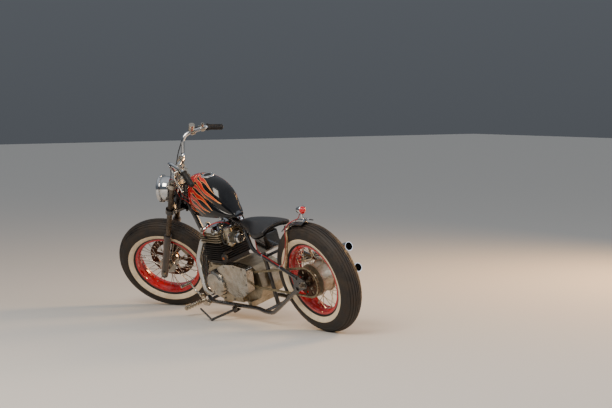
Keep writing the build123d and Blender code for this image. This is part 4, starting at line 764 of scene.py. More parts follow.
def padded_copy(form, name, voxel, pressure, cap):
    """A soft, swollen copy of a closed form: remeshed, smoothed and inflated as cloth."""
    mesh = form.data.copy()
    mesh.name = name
    pad = bpy.data.objects.new(name, mesh)
    bpy.context.scene.collection.objects.link(pad)
    bm = bmesh.new()
    bm.from_mesh(mesh)
    bmesh.ops.remove_doubles(bm, verts=bm.verts[:], dist=1e-5)
    bm.to_mesh(mesh)
    bm.free()
    remesh = pad.modifiers.new("remesh", "REMESH")
    remesh.mode = "VOXEL"
    remesh.voxel_size = voxel
    smooth = pad.modifiers.new("smooth", "SMOOTH")
    smooth.iterations = 6
    smooth.factor = 0.5
    cloth = pad.modifiers.new("cloth", "CLOTH")
    cloth.settings.use_pressure = True
    cloth.settings.uniform_pressure_force = pressure
    cloth.settings.effector_weights.gravity = 0.0
    cloth.settings.tension_stiffness = 20.0
    cloth.settings.quality = 5
    scene = bpy.context.scene
    before = None
    for number in range(1, CLOTH_FRAMES + 1):
        scene.frame_set(number)
        depsgraph = bpy.context.evaluated_depsgraph_get()
        if before is None:
            first = bpy.data.meshes.new_from_object(pad.evaluated_get(depsgraph))
            before = [v.co.copy() for v in first.vertices]
    final = bpy.data.meshes.new_from_object(pad.evaluated_get(depsgraph))
    for vert, start in zip(final.vertices, before):
        move = vert.co - start
        if move.length > cap:
            vert.co = start + move.normalized() * cap
    scene.frame_set(1)
    pad.modifiers.clear()
    pad.data = final
    return pad


seat = padded_copy(seat_form, "leather_seat_pad", 0.005, 4.0, SWELL_CAP)
bpy.data.objects.remove(seat_form)
seat.data.materials.clear()
seat.data.materials.append(leather)
for polygon in seat.data.polygons:
    polygon.use_smooth = True
subdivided = seat.modifiers.new("finer", "SUBSURF")
subdivided.levels = subdivided.render_levels = 1
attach(seat, "frame")
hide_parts("seat_cushion")
print("seat pad", len(seat.data.polygons), "faces before the subdivision")

# %% [markdown]
# A roller chain is pairs of waisted plates on pins. The CAD solid is one loop of the right size, and
# here each link is placed along the same path: two straight runs and the wraps round both sprockets.
# Inner and outer links alternate. Each plate is one waisted outline that is extruded, and the rollers
# between the plates are short eight-sided cones.

# %% Drive chain
CHAIN_PITCH = 15.875
CHAIN_Y = 84.0
REAR_TEETH, FRONT_TEETH = 36, 17
PLATE_END, PLATE_WAIST, PLATE_THICKNESS = 6.4, 4.4, 1.4
INNER_INSET, OUTER_INSET = 3.6, 5.2
AXLE = (0.0, 341.0)
SHAFT = (600.0, 310.0)


def pitch_radius(teeth):
    return CHAIN_PITCH / 2 / math.sin(math.pi / teeth)


big, small = pitch_radius(REAR_TEETH), pitch_radius(FRONT_TEETH)
span = math.hypot(SHAFT[0] - AXLE[0], SHAFT[1] - AXLE[1])
slope = math.atan2(SHAFT[1] - AXLE[1], SHAFT[0] - AXLE[0])
tilt = math.acos((big - small) / span)
upper, lower = slope + tilt, slope - tilt
straight = math.sqrt(span ** 2 - (big - small) ** 2)
rear_wrap, front_wrap = big * (2 * math.pi - upper + lower), small * (upper - lower)
chain_length = rear_wrap + front_wrap + 2 * straight
LINKS = 2 * round(chain_length / CHAIN_PITCH / 2)


def chain_point(along):
    """Where the chain's centre line is, this far along it."""
    along = along % chain_length
    if along < rear_wrap:
        centre, radius, angle, run = AXLE, big, upper + along / big, 0.0
    elif along < rear_wrap + straight:
        centre, radius, angle, run = AXLE, big, lower, along - rear_wrap
    elif along < rear_wrap + straight + front_wrap:
        centre, radius, angle, run = SHAFT, small, lower + (along - rear_wrap - straight) / small, 0.0
    else:
        centre, radius, angle, run = SHAFT, small, upper, along - rear_wrap - straight - front_wrap
    return Vector((centre[0] + radius * math.cos(angle) - run * math.sin(angle), 0,
                   centre[1] + radius * math.sin(angle) + run * math.cos(angle)))


def link_plate(bm, start, end, y, thickness):
    """A waisted side plate between two pins."""
    middle, half = (start + end) / 2, (end - start) / 2
    along = half.normalized()
    outward = Vector((-along.z, 0, along.x))
    reach = half.length
    tip = [(reach + PLATE_END * math.cos(a), PLATE_END * math.sin(a))
           for a in (-1.9, -1.1, -0.4, 0.4, 1.1, 1.9)]
    outline = [*tip, (0.0, PLATE_WAIST), *((-x, -z) for x, z in tip), (0.0, -PLATE_WAIST)]
    verts = [bm.verts.new(middle + along * x + outward * z + Vector((0, y, 0))) for x, z in outline]
    face = bm.faces.new(verts)
    made = bmesh.ops.extrude_face_region(bm, geom=[face])["geom"]
    bmesh.ops.translate(bm, vec=(0, thickness, 0),
                        verts=[v for v in made if isinstance(v, bmesh.types.BMVert)])


bm = bmesh.new()
pins = [chain_point(n * chain_length / LINKS) for n in range(LINKS)]
for number, pin in enumerate(pins):
    after = pins[(number + 1) % LINKS]
    inset = OUTER_INSET if number % 2 else INNER_INSET
    for side in (1, -1):
        link_plate(bm, pin, after, CHAIN_Y + side * inset - PLATE_THICKNESS / 2, PLATE_THICKNESS)
    centre = pin + Vector((0, CHAIN_Y, 0))
    for half, radius in ((7.0, 2.5), (2.9, 5.0)):
        cone_between(bm, centre - Vector((0, half, 0)), centre + Vector((0, half, 0)), radius, radius, 8)
chain = piece("roller_chain_links", bm, BIKE, chain_steel, "frame", 30.0)
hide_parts("drive_chain")
print("chain of", LINKS, "links")

# %% [markdown]
# Cords, pipes and springs are round sections carried along an eased line. Each ring of the section is
# a bmesh circle that turns with the line, and neighbouring rings are bridged. Fasteners are short
# capped cones: six sides for a hexagon, more for a screw. They are seated by a ray that is cast at
# the CAD piece they hold, so a bolt always stands on the metal.

# %% Tube and fastener helpers


def tube_along(bm, points, radius, sides=8, steps=6):
    """A round tube along an eased line through these points."""
    path = [Vector(row) for row in eased_rows(points, steps)]
    turn, before = None, None
    rings = []
    for number, centre in enumerate(path):
        ahead = (path[min(number + 1, len(path) - 1)] - path[max(number - 1, 0)]).normalized()
        turn = ahead.to_track_quat("Z", "Y") if turn is None else before.rotation_difference(ahead) @ turn
        before = ahead
        matrix = Matrix.Translation(centre) @ turn.to_matrix().to_4x4()
        ring = bmesh.ops.create_circle(bm, segments=sides, radius=radius, matrix=matrix)["verts"]
        rings.append(list({edge for vert in ring for edge in vert.link_edges}))
    for first, second in zip(rings, rings[1:]):
        bmesh.ops.bridge_loops(bm, edges=first + second)
    for ring in (rings[0], rings[-1]):
        bmesh.ops.contextual_create(bm, geom=ring)


def on_surface(node, start, way, place=None):
    """Where a line from start along way, in a working frame, first meets a CAD piece."""
    cad = nodes[node]
    into = cad.matrix_world.inverted() @ (place or BIKE)
    found, where, _, _ = cad.ray_cast(into @ Vector(start), (into.to_3x3() @ Vector(way)).normalized())
    return into.inverted() @ where if found else None


def hex_bolt(bm, at, out, width=10.0, height=6.0):
    """A hexagon head on its washer; width is measured across the flats."""
    at, out = Vector(at), Vector(out).normalized()
    cone_between(bm, at - out, at + out * 1.4, width * 0.68, width * 0.68, 14)
    cone_between(bm, at + out * 1.4, at + out * (1.4 + height), width * 0.577, width * 0.55, 6)


def screw(bm, at, out, radius=4.0, height=3.0):
    """A pan-head screw with its dished top."""
    at, out = Vector(at), Vector(out).normalized()
    cone_between(bm, at - out, at + out * height * 0.6, radius, radius, 12)
    cone_between(bm, at + out * height * 0.6, at + out * height, radius, radius * 0.6, 12)


def stud_ring(count, radius, first=0.0, centre=(0.0, 0.0)):
    """Points evenly round a circle about a centre, as (x, z)."""
    angles = [math.radians(first + 360.0 * n / count) for n in range(count)]
    return [(centre[0] + radius * math.cos(angle),
             centre[1] + radius * math.sin(angle)) for angle in angles]


# %% [markdown]
# The engine's covers are held by screws round their edges, each on its own small boss, and the rocker
# caps by nuts. A mechanic looks for them first, and without them a cover looks like a pebble. The
# table gives each screw's side view place, and the ray gives its depth.

# %% Engine fasteners
SPROCKET_COVER_SCREWS = [(812, 384), (744, 406), (640, 412), (562, 401), (536, 366), (552, 300),
                         (572, 248), (626, 226), (706, 218), (772, 258)]
ALTERNATOR = (866.0, 288.0)
CLUTCH = (700.0, 290.0)
POINTS_COVER = (884.0, 290.0)
CASE_BOLTS = [(980, 240), (984, 340), (948, 380), (880, 172), (780, 170), (640, 170), (566, 196),
              (524, 330)]
CYLINDER_X = 868.0
ROCKER_CAP_X = 70.8
# Columns: CAD piece, side, places in the side view, boss below and above the metal, screw radius
# and height
COVER_SCREWS = [
    ("sprocket_cover", 1, SPROCKET_COVER_SCREWS, (1.0, 1.2), (4.6, 4.0)),
    ("alternator_cover", 1, stud_ring(3, 83.0, 30.0, ALTERNATOR), None, (4.6, 4.0)),
    ("clutch_cover", -1, stud_ring(9, 98.0, 10.0, CLUTCH), (2.0, 1.5), (4.6, 4.0)),
    ("clutch_cover", -1, stud_ring(2, 44.0, 90.0, POINTS_COVER), None, (4.0, 3.0)),
]

bm = bmesh.new()
count = 0
for node, side, places, boss, (radius, height) in COVER_SCREWS:
    out = Vector((0, side, 0))
    for x, z in places:
        at = on_surface(node, (x, side * 260, z), -out)
        if at:
            if boss:
                cone_between(bm, at - out * boss[0], at + out * boss[1], 8.0, 7.4, 16)
                at = at + out * boss[1]
            screw(bm, at, out, radius, height)
            count += 1
for side in (1, -1):
    for x, z in CASE_BOLTS:
        at = on_surface("crankcase", (x, side * 300, z), (0, -side, 0))
        if at and abs(at.y) > 90.0:
            hex_bolt(bm, at, (0, side, 0), 11.0, 6.0)
            count += 1
    for x in (ROCKER_CAP_X, -ROCKER_CAP_X):
        out = Vector((x * 0.18, 0, 28))
        at = on_surface("rocker_cover", Vector((CYLINDER_X + x, side * 58, 645)) + out * 3, -out)
        if at:
            cone_between(bm, at - out * 0.05, at + out * 0.09, 17.0, 14.0, 24)
            hex_bolt(bm, at + out * 0.08, out, 17.0, 9.0)
            count += 1
        for ahead in (-34, 0, 34):
            at = on_surface("rocker_cover", (CYLINDER_X + ahead, side * 94, 700), (0, 0, -1))
            if at:
                hex_bolt(bm, at, (0, 0, 1), 10.0, 6.0)
    for x in (58.0, -58.0):
        at = on_surface("rocker_cover", (CYLINDER_X + x, side * 200, 619), (0, -side, 0))
        if at:
            cone_between(bm, at - Vector((0, side, 0)), at + Vector((0, side * 3, 0)), 12.0, 11.0, 24)
            hex_bolt(bm, at + Vector((0, side * 3, 0)), (0, side, 0), 12.0, 4.0)
            count += 1
piece("engine_fasteners", bm, BIKE, zinc_steel, "frame", 30.0)
print(count, "engine screws and nuts")

# %% [markdown]
# Carburettors of this age are small castings with brass and steel on them: a knurled cap, screws in
# the bowl's flange, a choke lever, a throttle arm with its return spring, fuel banjos, and a worm-drive
# clamp on each rubber. They are what makes the middle of the engine look busy in the photograph.

# %% Carburettor details
CARB_X, CARB_Y, CARB_Z = 721.7, 62.0, 574.0
SPRING_RADIUS = 4.4
# Where a fuel hose runs on the left, from the bowl's banjo to the tap between the carburettors
FUEL_HOSE = [(-6, 30, -38), (10, 40, -34), (24, 38, 0), (20, 26, 50), (4, 10, 92), (0, 0, 112)]
bm = bmesh.new()
brass_bm = bmesh.new()
rubber_bm = bmesh.new()
for side in (1, -1):
    centre = Vector((CARB_X, side * CARB_Y, CARB_Z))
    for low, high, radius in ((50, 54, 27.5), (54, 60, 24.0), (20, 23, 28.5), (-30, -26, 29.0),
                              (-22, -18, 27.0)):
        cone_between(bm, centre + Vector((0, 0, low)), centre + Vector((0, 0, high)), radius, radius, 32)
    for x, z in stud_ring(4, 25.0, 45.0):
        screw(bm, centre + Vector((x, z, 60)) * Vector((0.84, 0.84, 1)), (0, 0, 1), 3.4, 3.0)
        screw(bm, centre + Vector((x * 1.06, z * 1.06, -26)), (0, 0, 1), 3.2, 3.0)
    for n in range(24):
        turn = 2 * math.pi * n / 24
        rib = Vector((math.cos(turn), math.sin(turn), 0)) * 24.2
        cone_between(bm, centre + rib + Vector((0, 0, 55)), centre + rib + Vector((0, 0, 59)), 1.3, 1.3, 6)
    arm = centre + Vector((8, side * 26, 4))
    cone_between(bm, centre + Vector((8, side * 20, 4)), arm + Vector((0, side * 6, 0)), 5.0, 5.0, 12)
    cone_between(bm, arm + Vector((0, side * 4, 0)), arm + Vector((-22, side * 4, 16)), 3.2, 2.2, 8)
    cone_between(bm, arm + Vector((0, side * 4, 0)), arm + Vector((14, side * 4, -18)), 3.2, 2.2, 8)
    turns = np.linspace(0, 8 * math.pi, 33)
    coil = [arm + Vector((SPRING_RADIUS * math.cos(t), side * (-2 + t * 0.28),
                          SPRING_RADIUS * math.sin(t))) for t in turns]
    tube_along(brass_bm, [tuple(p) for p in coil], 0.8, 5, 1)
    cone_between(brass_bm, centre + Vector((-6, side * 21, -38)), centre + Vector((-6, side * 31, -38)),
                 4.6, 4.0, 6)
    cone_between(brass_bm, centre + Vector((-22, side * 14, -8)), centre + Vector((-22, side * 30, -8)),
                 3.4, 3.0, 8)
    cone_between(brass_bm, centre + Vector((0, 0, -50)), centre + Vector((0, 0, -64)), 6.0, 6.0, 6)
    for x, radius in ((38, 27.0), (-36, 27.5)):
        ring_at = centre + Vector((x, 0, 0))
        cone_between(bm, ring_at - Vector((4.5, 0, 0)), ring_at + Vector((4.5, 0, 0)), radius, radius, 40)
        cone_between(bm, ring_at + Vector((0, side * (radius - 2), 9)),
                     ring_at + Vector((0, side * (radius - 2), -9)), 4.4, 4.4, 8)
    tube_along(rubber_bm, [tuple(centre + Vector((x, side * y, z))) for x, y, z in FUEL_HOSE], 4.6, 10)
tube_along(bm, [(CARB_X + 8, 34, CARB_Z + 4), (CARB_X + 8, 0, CARB_Z + 5), (CARB_X + 8, -34, CARB_Z + 4)],
           3.6, 10, 4)
piece("carburettor_fittings", bm, BIKE, polished_alloy, "frame", 30.0)
piece("carburettor_jets", brass_bm, BIKE, brass, "frame", 30.0)
piece("fuel_hoses", rubber_bm, BIKE, black_rubber, "frame", 40.0)
print("carburettors detailed")

# %% [markdown]
# Ignition leads on a custom machine are red silicone, about 7 mm thick. Each comes from a black boot
# on its spark plug, climbs over the rocker cover and meets the coil that hangs under the backbone. A
# thin red wire also leaves the seat, lies on the left stay in two chrome clips and climbs the strut
# to the tail lamp. They are held all the way, so they are drawn along their real routes.

# %% Leads, coil and lamp wire
LEFT_LEAD = [(874, 136, 596), (866, 148, 616), (842, 142, 644), (814, 112, 664), (784, 72, 668),
             (760, 40, 656), (744, 20, 640)]
LAMP_WIRE = [(456, 62, 578), (440, 74, 556), (420, 90, 530), (390, 101, 506), (300, 106, 475),
             (196, 112, 440), (171, 111, 447),
             (157, 92, 486), (126, 88, 560), (104, 86, 610), (101, 78, 660), (92, 54, 686), (60, 32, 703),
             (30, 14, 714), (19, 4, 738)]
LEAD_RADIUS = 3.5
WIRE_RADIUS = 2.5
COIL_START, COIL_END = Vector((698, 0, 632)), Vector((768, 0, 640))

lead_bm, boot_bm, coil_bm, clip_bm = (bmesh.new() for _ in range(4))
for side in (1, -1):
    route = [(x, side * y, z) for x, y, z in LEFT_LEAD]
    tube_along(lead_bm, route, LEAD_RADIUS, 10)
    start, after = Vector(route[0]), Vector(route[1])
    run = (after - start).normalized()
    cone_between(boot_bm, start - run * 26, start + run * 2, 9.0, 6.2, 20)
    cone_between(boot_bm, start - run * 9, start - run * 5, 9.6, 9.6, 20)
    tower = Vector((740, side * 20, 638))
    cone_between(coil_bm, Vector((734, side * 6, 634)), tower, 8.0, 6.0, 16)
cone_between(coil_bm, COIL_START, COIL_END, 15.0, 15.0, 32)
cone_between(clip_bm, COIL_START - Vector((3, 0, 0.3)), COIL_START + Vector((5, 0, 0.6)), 16.0, 16.0, 32)
cone_between(clip_bm, COIL_START + Vector((32, 0, 3.5)), COIL_START + Vector((40, 0, 4.5)), 16.4, 16.4, 32)
cone_between(clip_bm, COIL_START + Vector((36, 0, 14)), COIL_START + Vector((36, 0, 32)), 7.0, 7.0, 6)
tube_along(lead_bm, LAMP_WIRE, WIRE_RADIUS, 8)
STAY_START, STAY_END = Vector((446, 93, 510)), Vector((50, 116, 376))
for share in (0.2, 0.62):
    middle = STAY_START.lerp(STAY_END, share)
    along = (STAY_END - STAY_START).normalized()
    cone_between(clip_bm, middle - along * 5, middle + along * 5, 13.4, 13.4, 24)
    lift = Vector((-0.28, 0.35, 0.89)).normalized() * 14.8
    cone_between(clip_bm, middle + lift - along * 5, middle + lift + along * 5, 4.4, 4.4, 12)
    screw(clip_bm, middle + Vector((0, 13, 2)), (0, 1, 0), 3.4, 3.0)
piece("ignition_and_lamp_leads", lead_bm, BIKE, red_sleeve, "frame", 50.0)
piece("spark_plug_boots", boot_bm, BIKE, black_rubber, "frame", 40.0)
piece("ignition_coil_body", coil_bm, BIKE, engine_black, "frame", 40.0)
piece("wire_clips_and_strap", clip_bm, BIKE, chrome, "frame", 30.0)
print("leads, coil and clips made")

# %% [markdown]
# The rear fender in the photograph is a short, narrow blade of black enamel that hugs the tyre, with
# two bright strips along it and chrome struts, whose tan tint is a painted warm reflection. One cross-section is
# spun about the axle over its arc and closed at both ends. The tail lamp is a small bullet on a stalk: a turned
# chrome shell, a bright bezel and a domed red lens, each an outline spun about the lamp's axis.

# %% Fender and tail lamp
FENDER_CROWN, FENDER_EDGE, FENDER_HALF, FENDER_WALL = 362.0, 344.0, 46.0, 2.5
FENDER_FROM, FENDER_TO = 58.0, 95.0
TAIL_LAMP_PLACE = (8.0, 0.0, 762.0)


def spun_section(bm, profile, start, end, steps):
    """Spins a closed outline of (radius, y) points about the axle line, from start to end degrees."""
    turn = math.radians(start)
    verts = [bm.verts.new((r * math.cos(turn), y, r * math.sin(turn))) for r, y in profile]
    edges = [bm.edges.new(pair) for pair in zip(verts, verts[1:] + verts[:1])]
    near = bmesh.ops.contextual_create(bm, geom=edges)["faces"]
    bmesh.ops.spin(bm, geom=near + verts + edges, cent=(0, 0, 0), axis=(0, 1, 0),
                   angle=-math.radians(end - start), steps=steps)


def crowned(radius_edge, radius_crown, half, count):
    """A crowned cross-section as (radius, y), from one edge to the other."""
    arc = arc_through((-half, radius_edge), (0.0, radius_crown), (half, radius_edge), count)
    return [(r, y) for y, r in arc] + [(radius_edge, half)]


bm = bmesh.new()
outside = crowned(FENDER_EDGE, FENDER_CROWN, FENDER_HALF, 18)
inside = crowned(FENDER_EDGE, FENDER_CROWN - FENDER_WALL, FENDER_HALF - FENDER_WALL, 18)
spun_section(bm, outside + inside[::-1], FENDER_FROM, FENDER_TO, 30)
for side in (1, -1):
    rim = [(FENDER_EDGE - 1.5, side * FENDER_HALF), (FENDER_EDGE + 3.5, side * (FENDER_HALF + 1.6)),
           (FENDER_EDGE + 3.5, side * (FENDER_HALF - 3.5)),
           (FENDER_EDGE - 1.5, side * (FENDER_HALF - 4.0))]
    spun_section(bm, rim, FENDER_FROM, FENDER_TO, 30)
fender = piece("black_rear_fender", bm, REAR_WHEEL, black_enamel, "frame", 40.0)
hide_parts("rear_fender")

bm = bmesh.new()
for side in (1, -1):
    strip = [(FENDER_CROWN - 1.0, side * 15.0), (FENDER_CROWN + 2.2, side * 16.0),
             (FENDER_CROWN + 2.0, side * 22.0), (FENDER_CROWN - 3.6, side * 23.0)]
    spun_section(bm, strip, FENDER_FROM + 1.5, FENDER_TO - 1.5, 30)
piece("fender_strips", bm, REAR_WHEEL, chrome, "frame", 40.0)

# The struts are chrome; their tan tint and brown blotches are painted warm reflection.
strut_chrome_warm_reflection = bare_metal("strut_chrome_painted_warm_reflection", "#c0a98c", "#7a5638", 0.8, 0.12, 0.3, 2.0, 0.02, 25.0)
bm = bmesh.new()
for side in (1, -1):
    strut = [(160, 102, 424), (144, 88, 484), (118, 85, 552), (94, 83, 606), (91, 74, 654), (89, 47, 672)]
    tube_along(bm, [(x, side * y, z) for x, y, z in strut], 7.0, 14)
    hex_bolt(bm, (89, side * 49, 672), (0, side, 0.3), 10.0, 5.0)
piece("fender_struts", bm, BIKE, strut_chrome_warm_reflection, "frame", 40.0)

turn_back = Matrix.Translation(TAIL_LAMP_PLACE) @ Matrix.Rotation(-math.pi / 2, 4, "Z")
bm = bmesh.new()
turned_ring(bm,
            [(0.01, 32.0), (9.0, 29.5), (15.5, 23.0), (20.0, 10.0), (22.5, -4.0), (23.0, -12.0),
             (26.0, -12.0), (27.0, -15.0), (27.0, -20.0),
                 (25.0, -22.5), (22.0, -22.5), (21.0, -17.0), (0.01, -17.0)], 48)
cone_between(bm, turn_back.inverted() @ Vector((8, 0, 703)), turn_back.inverted() @ Vector((8, 0, 742)),
             6.0, 6.0, 20)
cone_between(bm, turn_back.inverted() @ Vector((8, 0, 701)), turn_back.inverted() @ Vector((8, 0, 706)),
             11.0, 9.0, 24)
lamp_shell = piece("tail_lamp_shell", bm, BIKE @ turn_back, chrome, "frame", 40.0)
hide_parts("tail_lamp")
bm = bmesh.new()
turned_ring(bm,
            [(0.01, -18.0), (21.0, -18.0), (22.0, -22.0), (21.0, -27.0), (18.5, -31.0), (13.0, -35.0),
             (6.5, -37.4), (0.01, -38.0)], 48)
lens = piece("tail_lamp_lens", bm, BIKE @ turn_back, red_lens, "frame", 50.0)
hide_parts("tail_lens")
print("fender, struts and tail lamp made")

# %% [markdown]
# The filler cap is a turned and plated screw cap, 80 mm across, that lies square to the tank's crest.
# One outline spun about its axis gives the rolled edge and the dished top. Short ribs round the edge
# give the hand its hold, and a dark domed disc fills the middle.

# %% Filler cap
CAP_AT = (872.0, 0.0, 937.0)
CAP_TILT = math.radians(-8.0)
cap_turn = Matrix.Rotation(CAP_TILT, 4, "Y") @ Matrix.Rotation(math.pi / 2, 4, "X")
cap_place = Matrix.Translation(CAP_AT) @ cap_turn
bm = bmesh.new()
turned_ring(bm,
            [(0.01, 0.0), (34.0, 0.0), (34.0, 4.0), (39.0, 4.5), (40.5, 8.0), (39.5, 12.5), (35.0, 15.5),
             (30.0, 16.0), (27.0, 13.5), (24.0, 12.5),
                 (0.01, 12.5)], 64)
for turn in range(36):
    angle = 2 * math.pi * turn / 36
    edge = Vector((40.0 * math.cos(angle), 0.0, 40.0 * math.sin(angle)))
    cone_between(bm, edge + Vector((0, 5.5, 0)), edge + Vector((0, 11.5, 0)), 1.5, 1.5, 6)
cap = piece("turned_filler_cap", bm, BIKE @ cap_place, chrome, "frame", 30.0)
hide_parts("filler_cap")
bm = bmesh.new()
turned_ring(bm, [(0.01, 12.0), (23.0, 12.0), (23.5, 14.0), (20.0, 16.5), (8.0, 17.5), (0.01, 17.5)], 48)
piece("filler_cap_middle", bm, BIKE @ cap_place, black_rubber, "frame", 30.0)
print("filler cap made")

# %% [markdown]
# Cables cross the steering joint, so they bend when the bars turn.

# %% Cables across the steering head
CABLE_RADIUS = 3.2
WIRE_THIN = 2.2
FORK_TO_BIKE = BIKE.inverted() @ FORK
# Columns: name, finish, radius, route in the fork's frame, route in the machine's frame
CABLES = [
    ("clutch_cable", black_sleeve, CABLE_RADIUS,
     [(20, 248, 947), (62, 204, 948), (86, 150, 912), (92, 92, 850), (92, 64, 780), (94, 52, 710),
      (84, 50, 656), (48, 54, 614), (4, 52, 604)],
     [(1112, 40, 792), (1060, 36, 772), (1000, 34, 744)]),
    ("throttle_cable", black_sleeve, CABLE_RADIUS,
     [(20, -248, 947), (62, -204, 950), (86, -150, 916), (94, -88, 852), (94, -60, 780), (96, -50, 712),
      (86, -50, 660), (48, -54, 620), (2, -52, 612)],
     [(1108, -40, 798), (1056, -36, 778), (996, -34, 750)]),
    ("headlamp_wire", red_sleeve, WIRE_THIN,
     [(108, 30, 668), (92, 58, 704), (66, 70, 692), (40, 60, 640), (18, 50, 596), (0, 45, 586)],
     [(1124, 34, 770), (1098, 26, 742), (1080, 20, 716)]),
    ("indicator_wire", red_sleeve, WIRE_THIN,
     [(112, 18, 664), (100, 48, 722), (70, 62, 726), (34, 52, 664), (10, 44, 620), (-6, 42, 606)],
     [(1118, 34, 794), (1090, 30, 776), (1064, 26, 760)]),
]
for name, finish, radius, on_fork, on_frame in CABLES:
    bm = bmesh.new()
    route = [tuple(FORK_TO_BIKE @ Vector(p)) for p in on_fork] + on_frame
    tube_along(bm, route, radius, 10)
    cable = piece(name, bm, BIKE, finish, None, 50.0)
    start = FORK @ Vector(on_fork[-4])
    end = BIKE @ Vector(on_frame[0])
    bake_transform(cable, "steering", "frame", start=tuple(start), end=tuple(end))
print(len(CABLES), "cables across the steering joint")

# %% [markdown]
# The small things of the front end: a plated rim round the headlamp's glass with its clamp screw, the
# grips' moulded ribs, pinch bolts on the yokes and bar clamps, and nuts on the disc. Ribs
# and bolts are short cones in rings, because a row of them is what the eye expects, not their threads.

# %% Front end details
LAMP_AT, LAMP_TILT = (160.0, 0.0, 592.0), math.radians(17.0)
lamp_turn = Matrix.Rotation(LAMP_TILT, 4, "Y") @ Matrix.Rotation(-math.pi / 2, 4, "Z")
LAMP_PLACE = Matrix.Translation(LAMP_AT) @ lamp_turn
LAMP_RADIUS = 85.0
bm = bmesh.new()
turned_ring(bm,
            [(LAMP_RADIUS + 0.4, -13.0), (LAMP_RADIUS + 2.4, -12.0), (LAMP_RADIUS + 3.2, -4.0),
             (LAMP_RADIUS + 2.6, 4.0),
                 (LAMP_RADIUS - 1.0, 8.6), (LAMP_RADIUS - 6.0, 9.6), (LAMP_RADIUS - 7.6, 8.6),
                 (LAMP_RADIUS + 0.4, 6.4)], 96)
cone_between(bm, (0, -4, LAMP_RADIUS + 1), (0, -4, LAMP_RADIUS + 7), 4.5, 4.0, 12)
piece("headlamp_rim", bm, FORK @ LAMP_PLACE, chrome, "steering", 30.0)

bm = bmesh.new()
for side in (1, -1):
    for low in (494.0, 701.0):
        hex_bolt(bm, (36.0, side * 88.0, low + 9.0), (-1.0, side * 0.35, 0), 9.0, 6.0)
        hex_bolt(bm, (36.0, side * 88.0, low + 21.0), (-1.0, side * 0.35, 0), 9.0, 6.0)
    for q in (-13.0, 13.0):
        hex_bolt(bm, (62.0 + q, side * 45.0, 837.5), (0, 0, 1), 9.0, 5.0)
    cone_between(bm, (70.0, side * 95.0, 741.0), (70.0, side * 95.0, 748.0), 19.5, 17.0, 32)
    cone_between(bm, (70.0, side * 95.0, 748.0), (70.0, side * 95.0, 753.0), 10.0, 9.0, 6)
cone_between(bm, (0, 0, 741.0), (0, 0, 752.0), 17.0, 16.0, 6)
cone_between(bm, (0, 0, 752.0), (0, 0, 757.0), 9.0, 7.0, 24)
piece("fork_bolts", bm, FORK, zinc_steel, "steering", 30.0)

bm = bmesh.new()
BAR_BEND, BAR_END = Vector((-26.0, 244.0, 964.0)), Vector((-108.0, 314.0, 940.0))
outward = (BAR_END - BAR_BEND).normalized()
for side in (1, -1):
    flip = Matrix.Diagonal((1, side, 1, 1))
    for number in range(17):
        middle = BAR_END - outward * (90.0 - number * 5.4)
        cone_between(bm, flip @ (middle - outward * 1.3), flip @ (middle + outward * 1.3), 18.0, 18.0, 28)
    cone_between(bm, flip @ (BAR_END + outward * 4), flip @ (BAR_END + outward * 9), 18.6, 14.0, 28)
piece("grip_ribs", bm, FORK, black_rubber, "steering", 30.0)

bm = bmesh.new()
for x, z in stud_ring(6, 38.0):
    at = on_surface("front_disc", (x, -120.0, z), (0, 1, 0), FRONT_WHEEL)
    if at:
        hex_bolt(bm, at, (0, -1, 0), 11.0, 6.0)
piece("disc_bolts", bm, FRONT_WHEEL, zinc_steel, "front_wheel", 30.0)
bm = bmesh.new()
for x, z in stud_ring(4, 46.0, 45.0):
    at = on_surface("rear_sprocket", (x, 140.0, z), (0, -1, 0), REAR_WHEEL)
    if at:
        hex_bolt(bm, at, (0, 1, 0), 12.0, 7.0)
piece("sprocket_nuts", bm, REAR_WHEEL, zinc_steel, "rear_wheel", 30.0)
print("front end and sprocket fasteners made")

# %% [markdown]
# Pod filters are pleated gauze between a rubber neck and a plated end cap, and the horn's plated middle,
# in its black grille, carries a painted warm reflection. A dark disc across each tail pipe's bore, a little in
# from the tip, is painted shade of the pipe's inside.

# %% Filters, horn and painted pipe shade
gauze = bare_metal("oiled_filter_gauze", "#8d8676", "#3c3428", 0.7, 0.3, 0.5, 0.9, 0.08, 18.0)
# The horn's middle is plated; the warm orange-brown tint given to it here is a painted warm reflection.
horn_warm_reflection = bare_metal("horn_centre_painted_warm_reflection", "#b8683c", "#5a3420", 0.5, 0.2, 0.4, 1.5, 0.02)
PLEATS = 40
nodes["air_filters"].data.materials[0] = gauze
cap_bm, pleat_bm = bmesh.new(), bmesh.new()
FILTER_X = 693.4
for side in (1, -1):
    middle = Vector((FILTER_X, side * 62.0, 574.0))
    cone_between(cap_bm, middle - Vector((70, 0, 0)), middle - Vector((84, 0, 0)), 34.0, 33.0, 48)
    cone_between(cap_bm, middle - Vector((84, 0, 0)), middle - Vector((90, 0, 0)), 33.0, 24.0, 48)
    cone_between(cap_bm, middle - Vector((10, 0, 0)), middle - Vector((20, 0, 0)), 38.0, 39.0, 48)
    for number in range(PLEATS):
        turn = 2 * math.pi * number / PLEATS
        out = Vector((0, math.cos(turn), math.sin(turn)))
        cone_between(pleat_bm, middle - Vector((20, 0, 0)) + out * 36.8,
                     middle - Vector((71, 0, 0)) + out * 31.6, 1.5, 1.5, 6)
piece("filter_end_caps", cap_bm, BIKE, chrome, "frame", 30.0)
piece("filter_pleats", pleat_bm, BIKE, gauze, "frame", 60.0)
bm = bmesh.new()
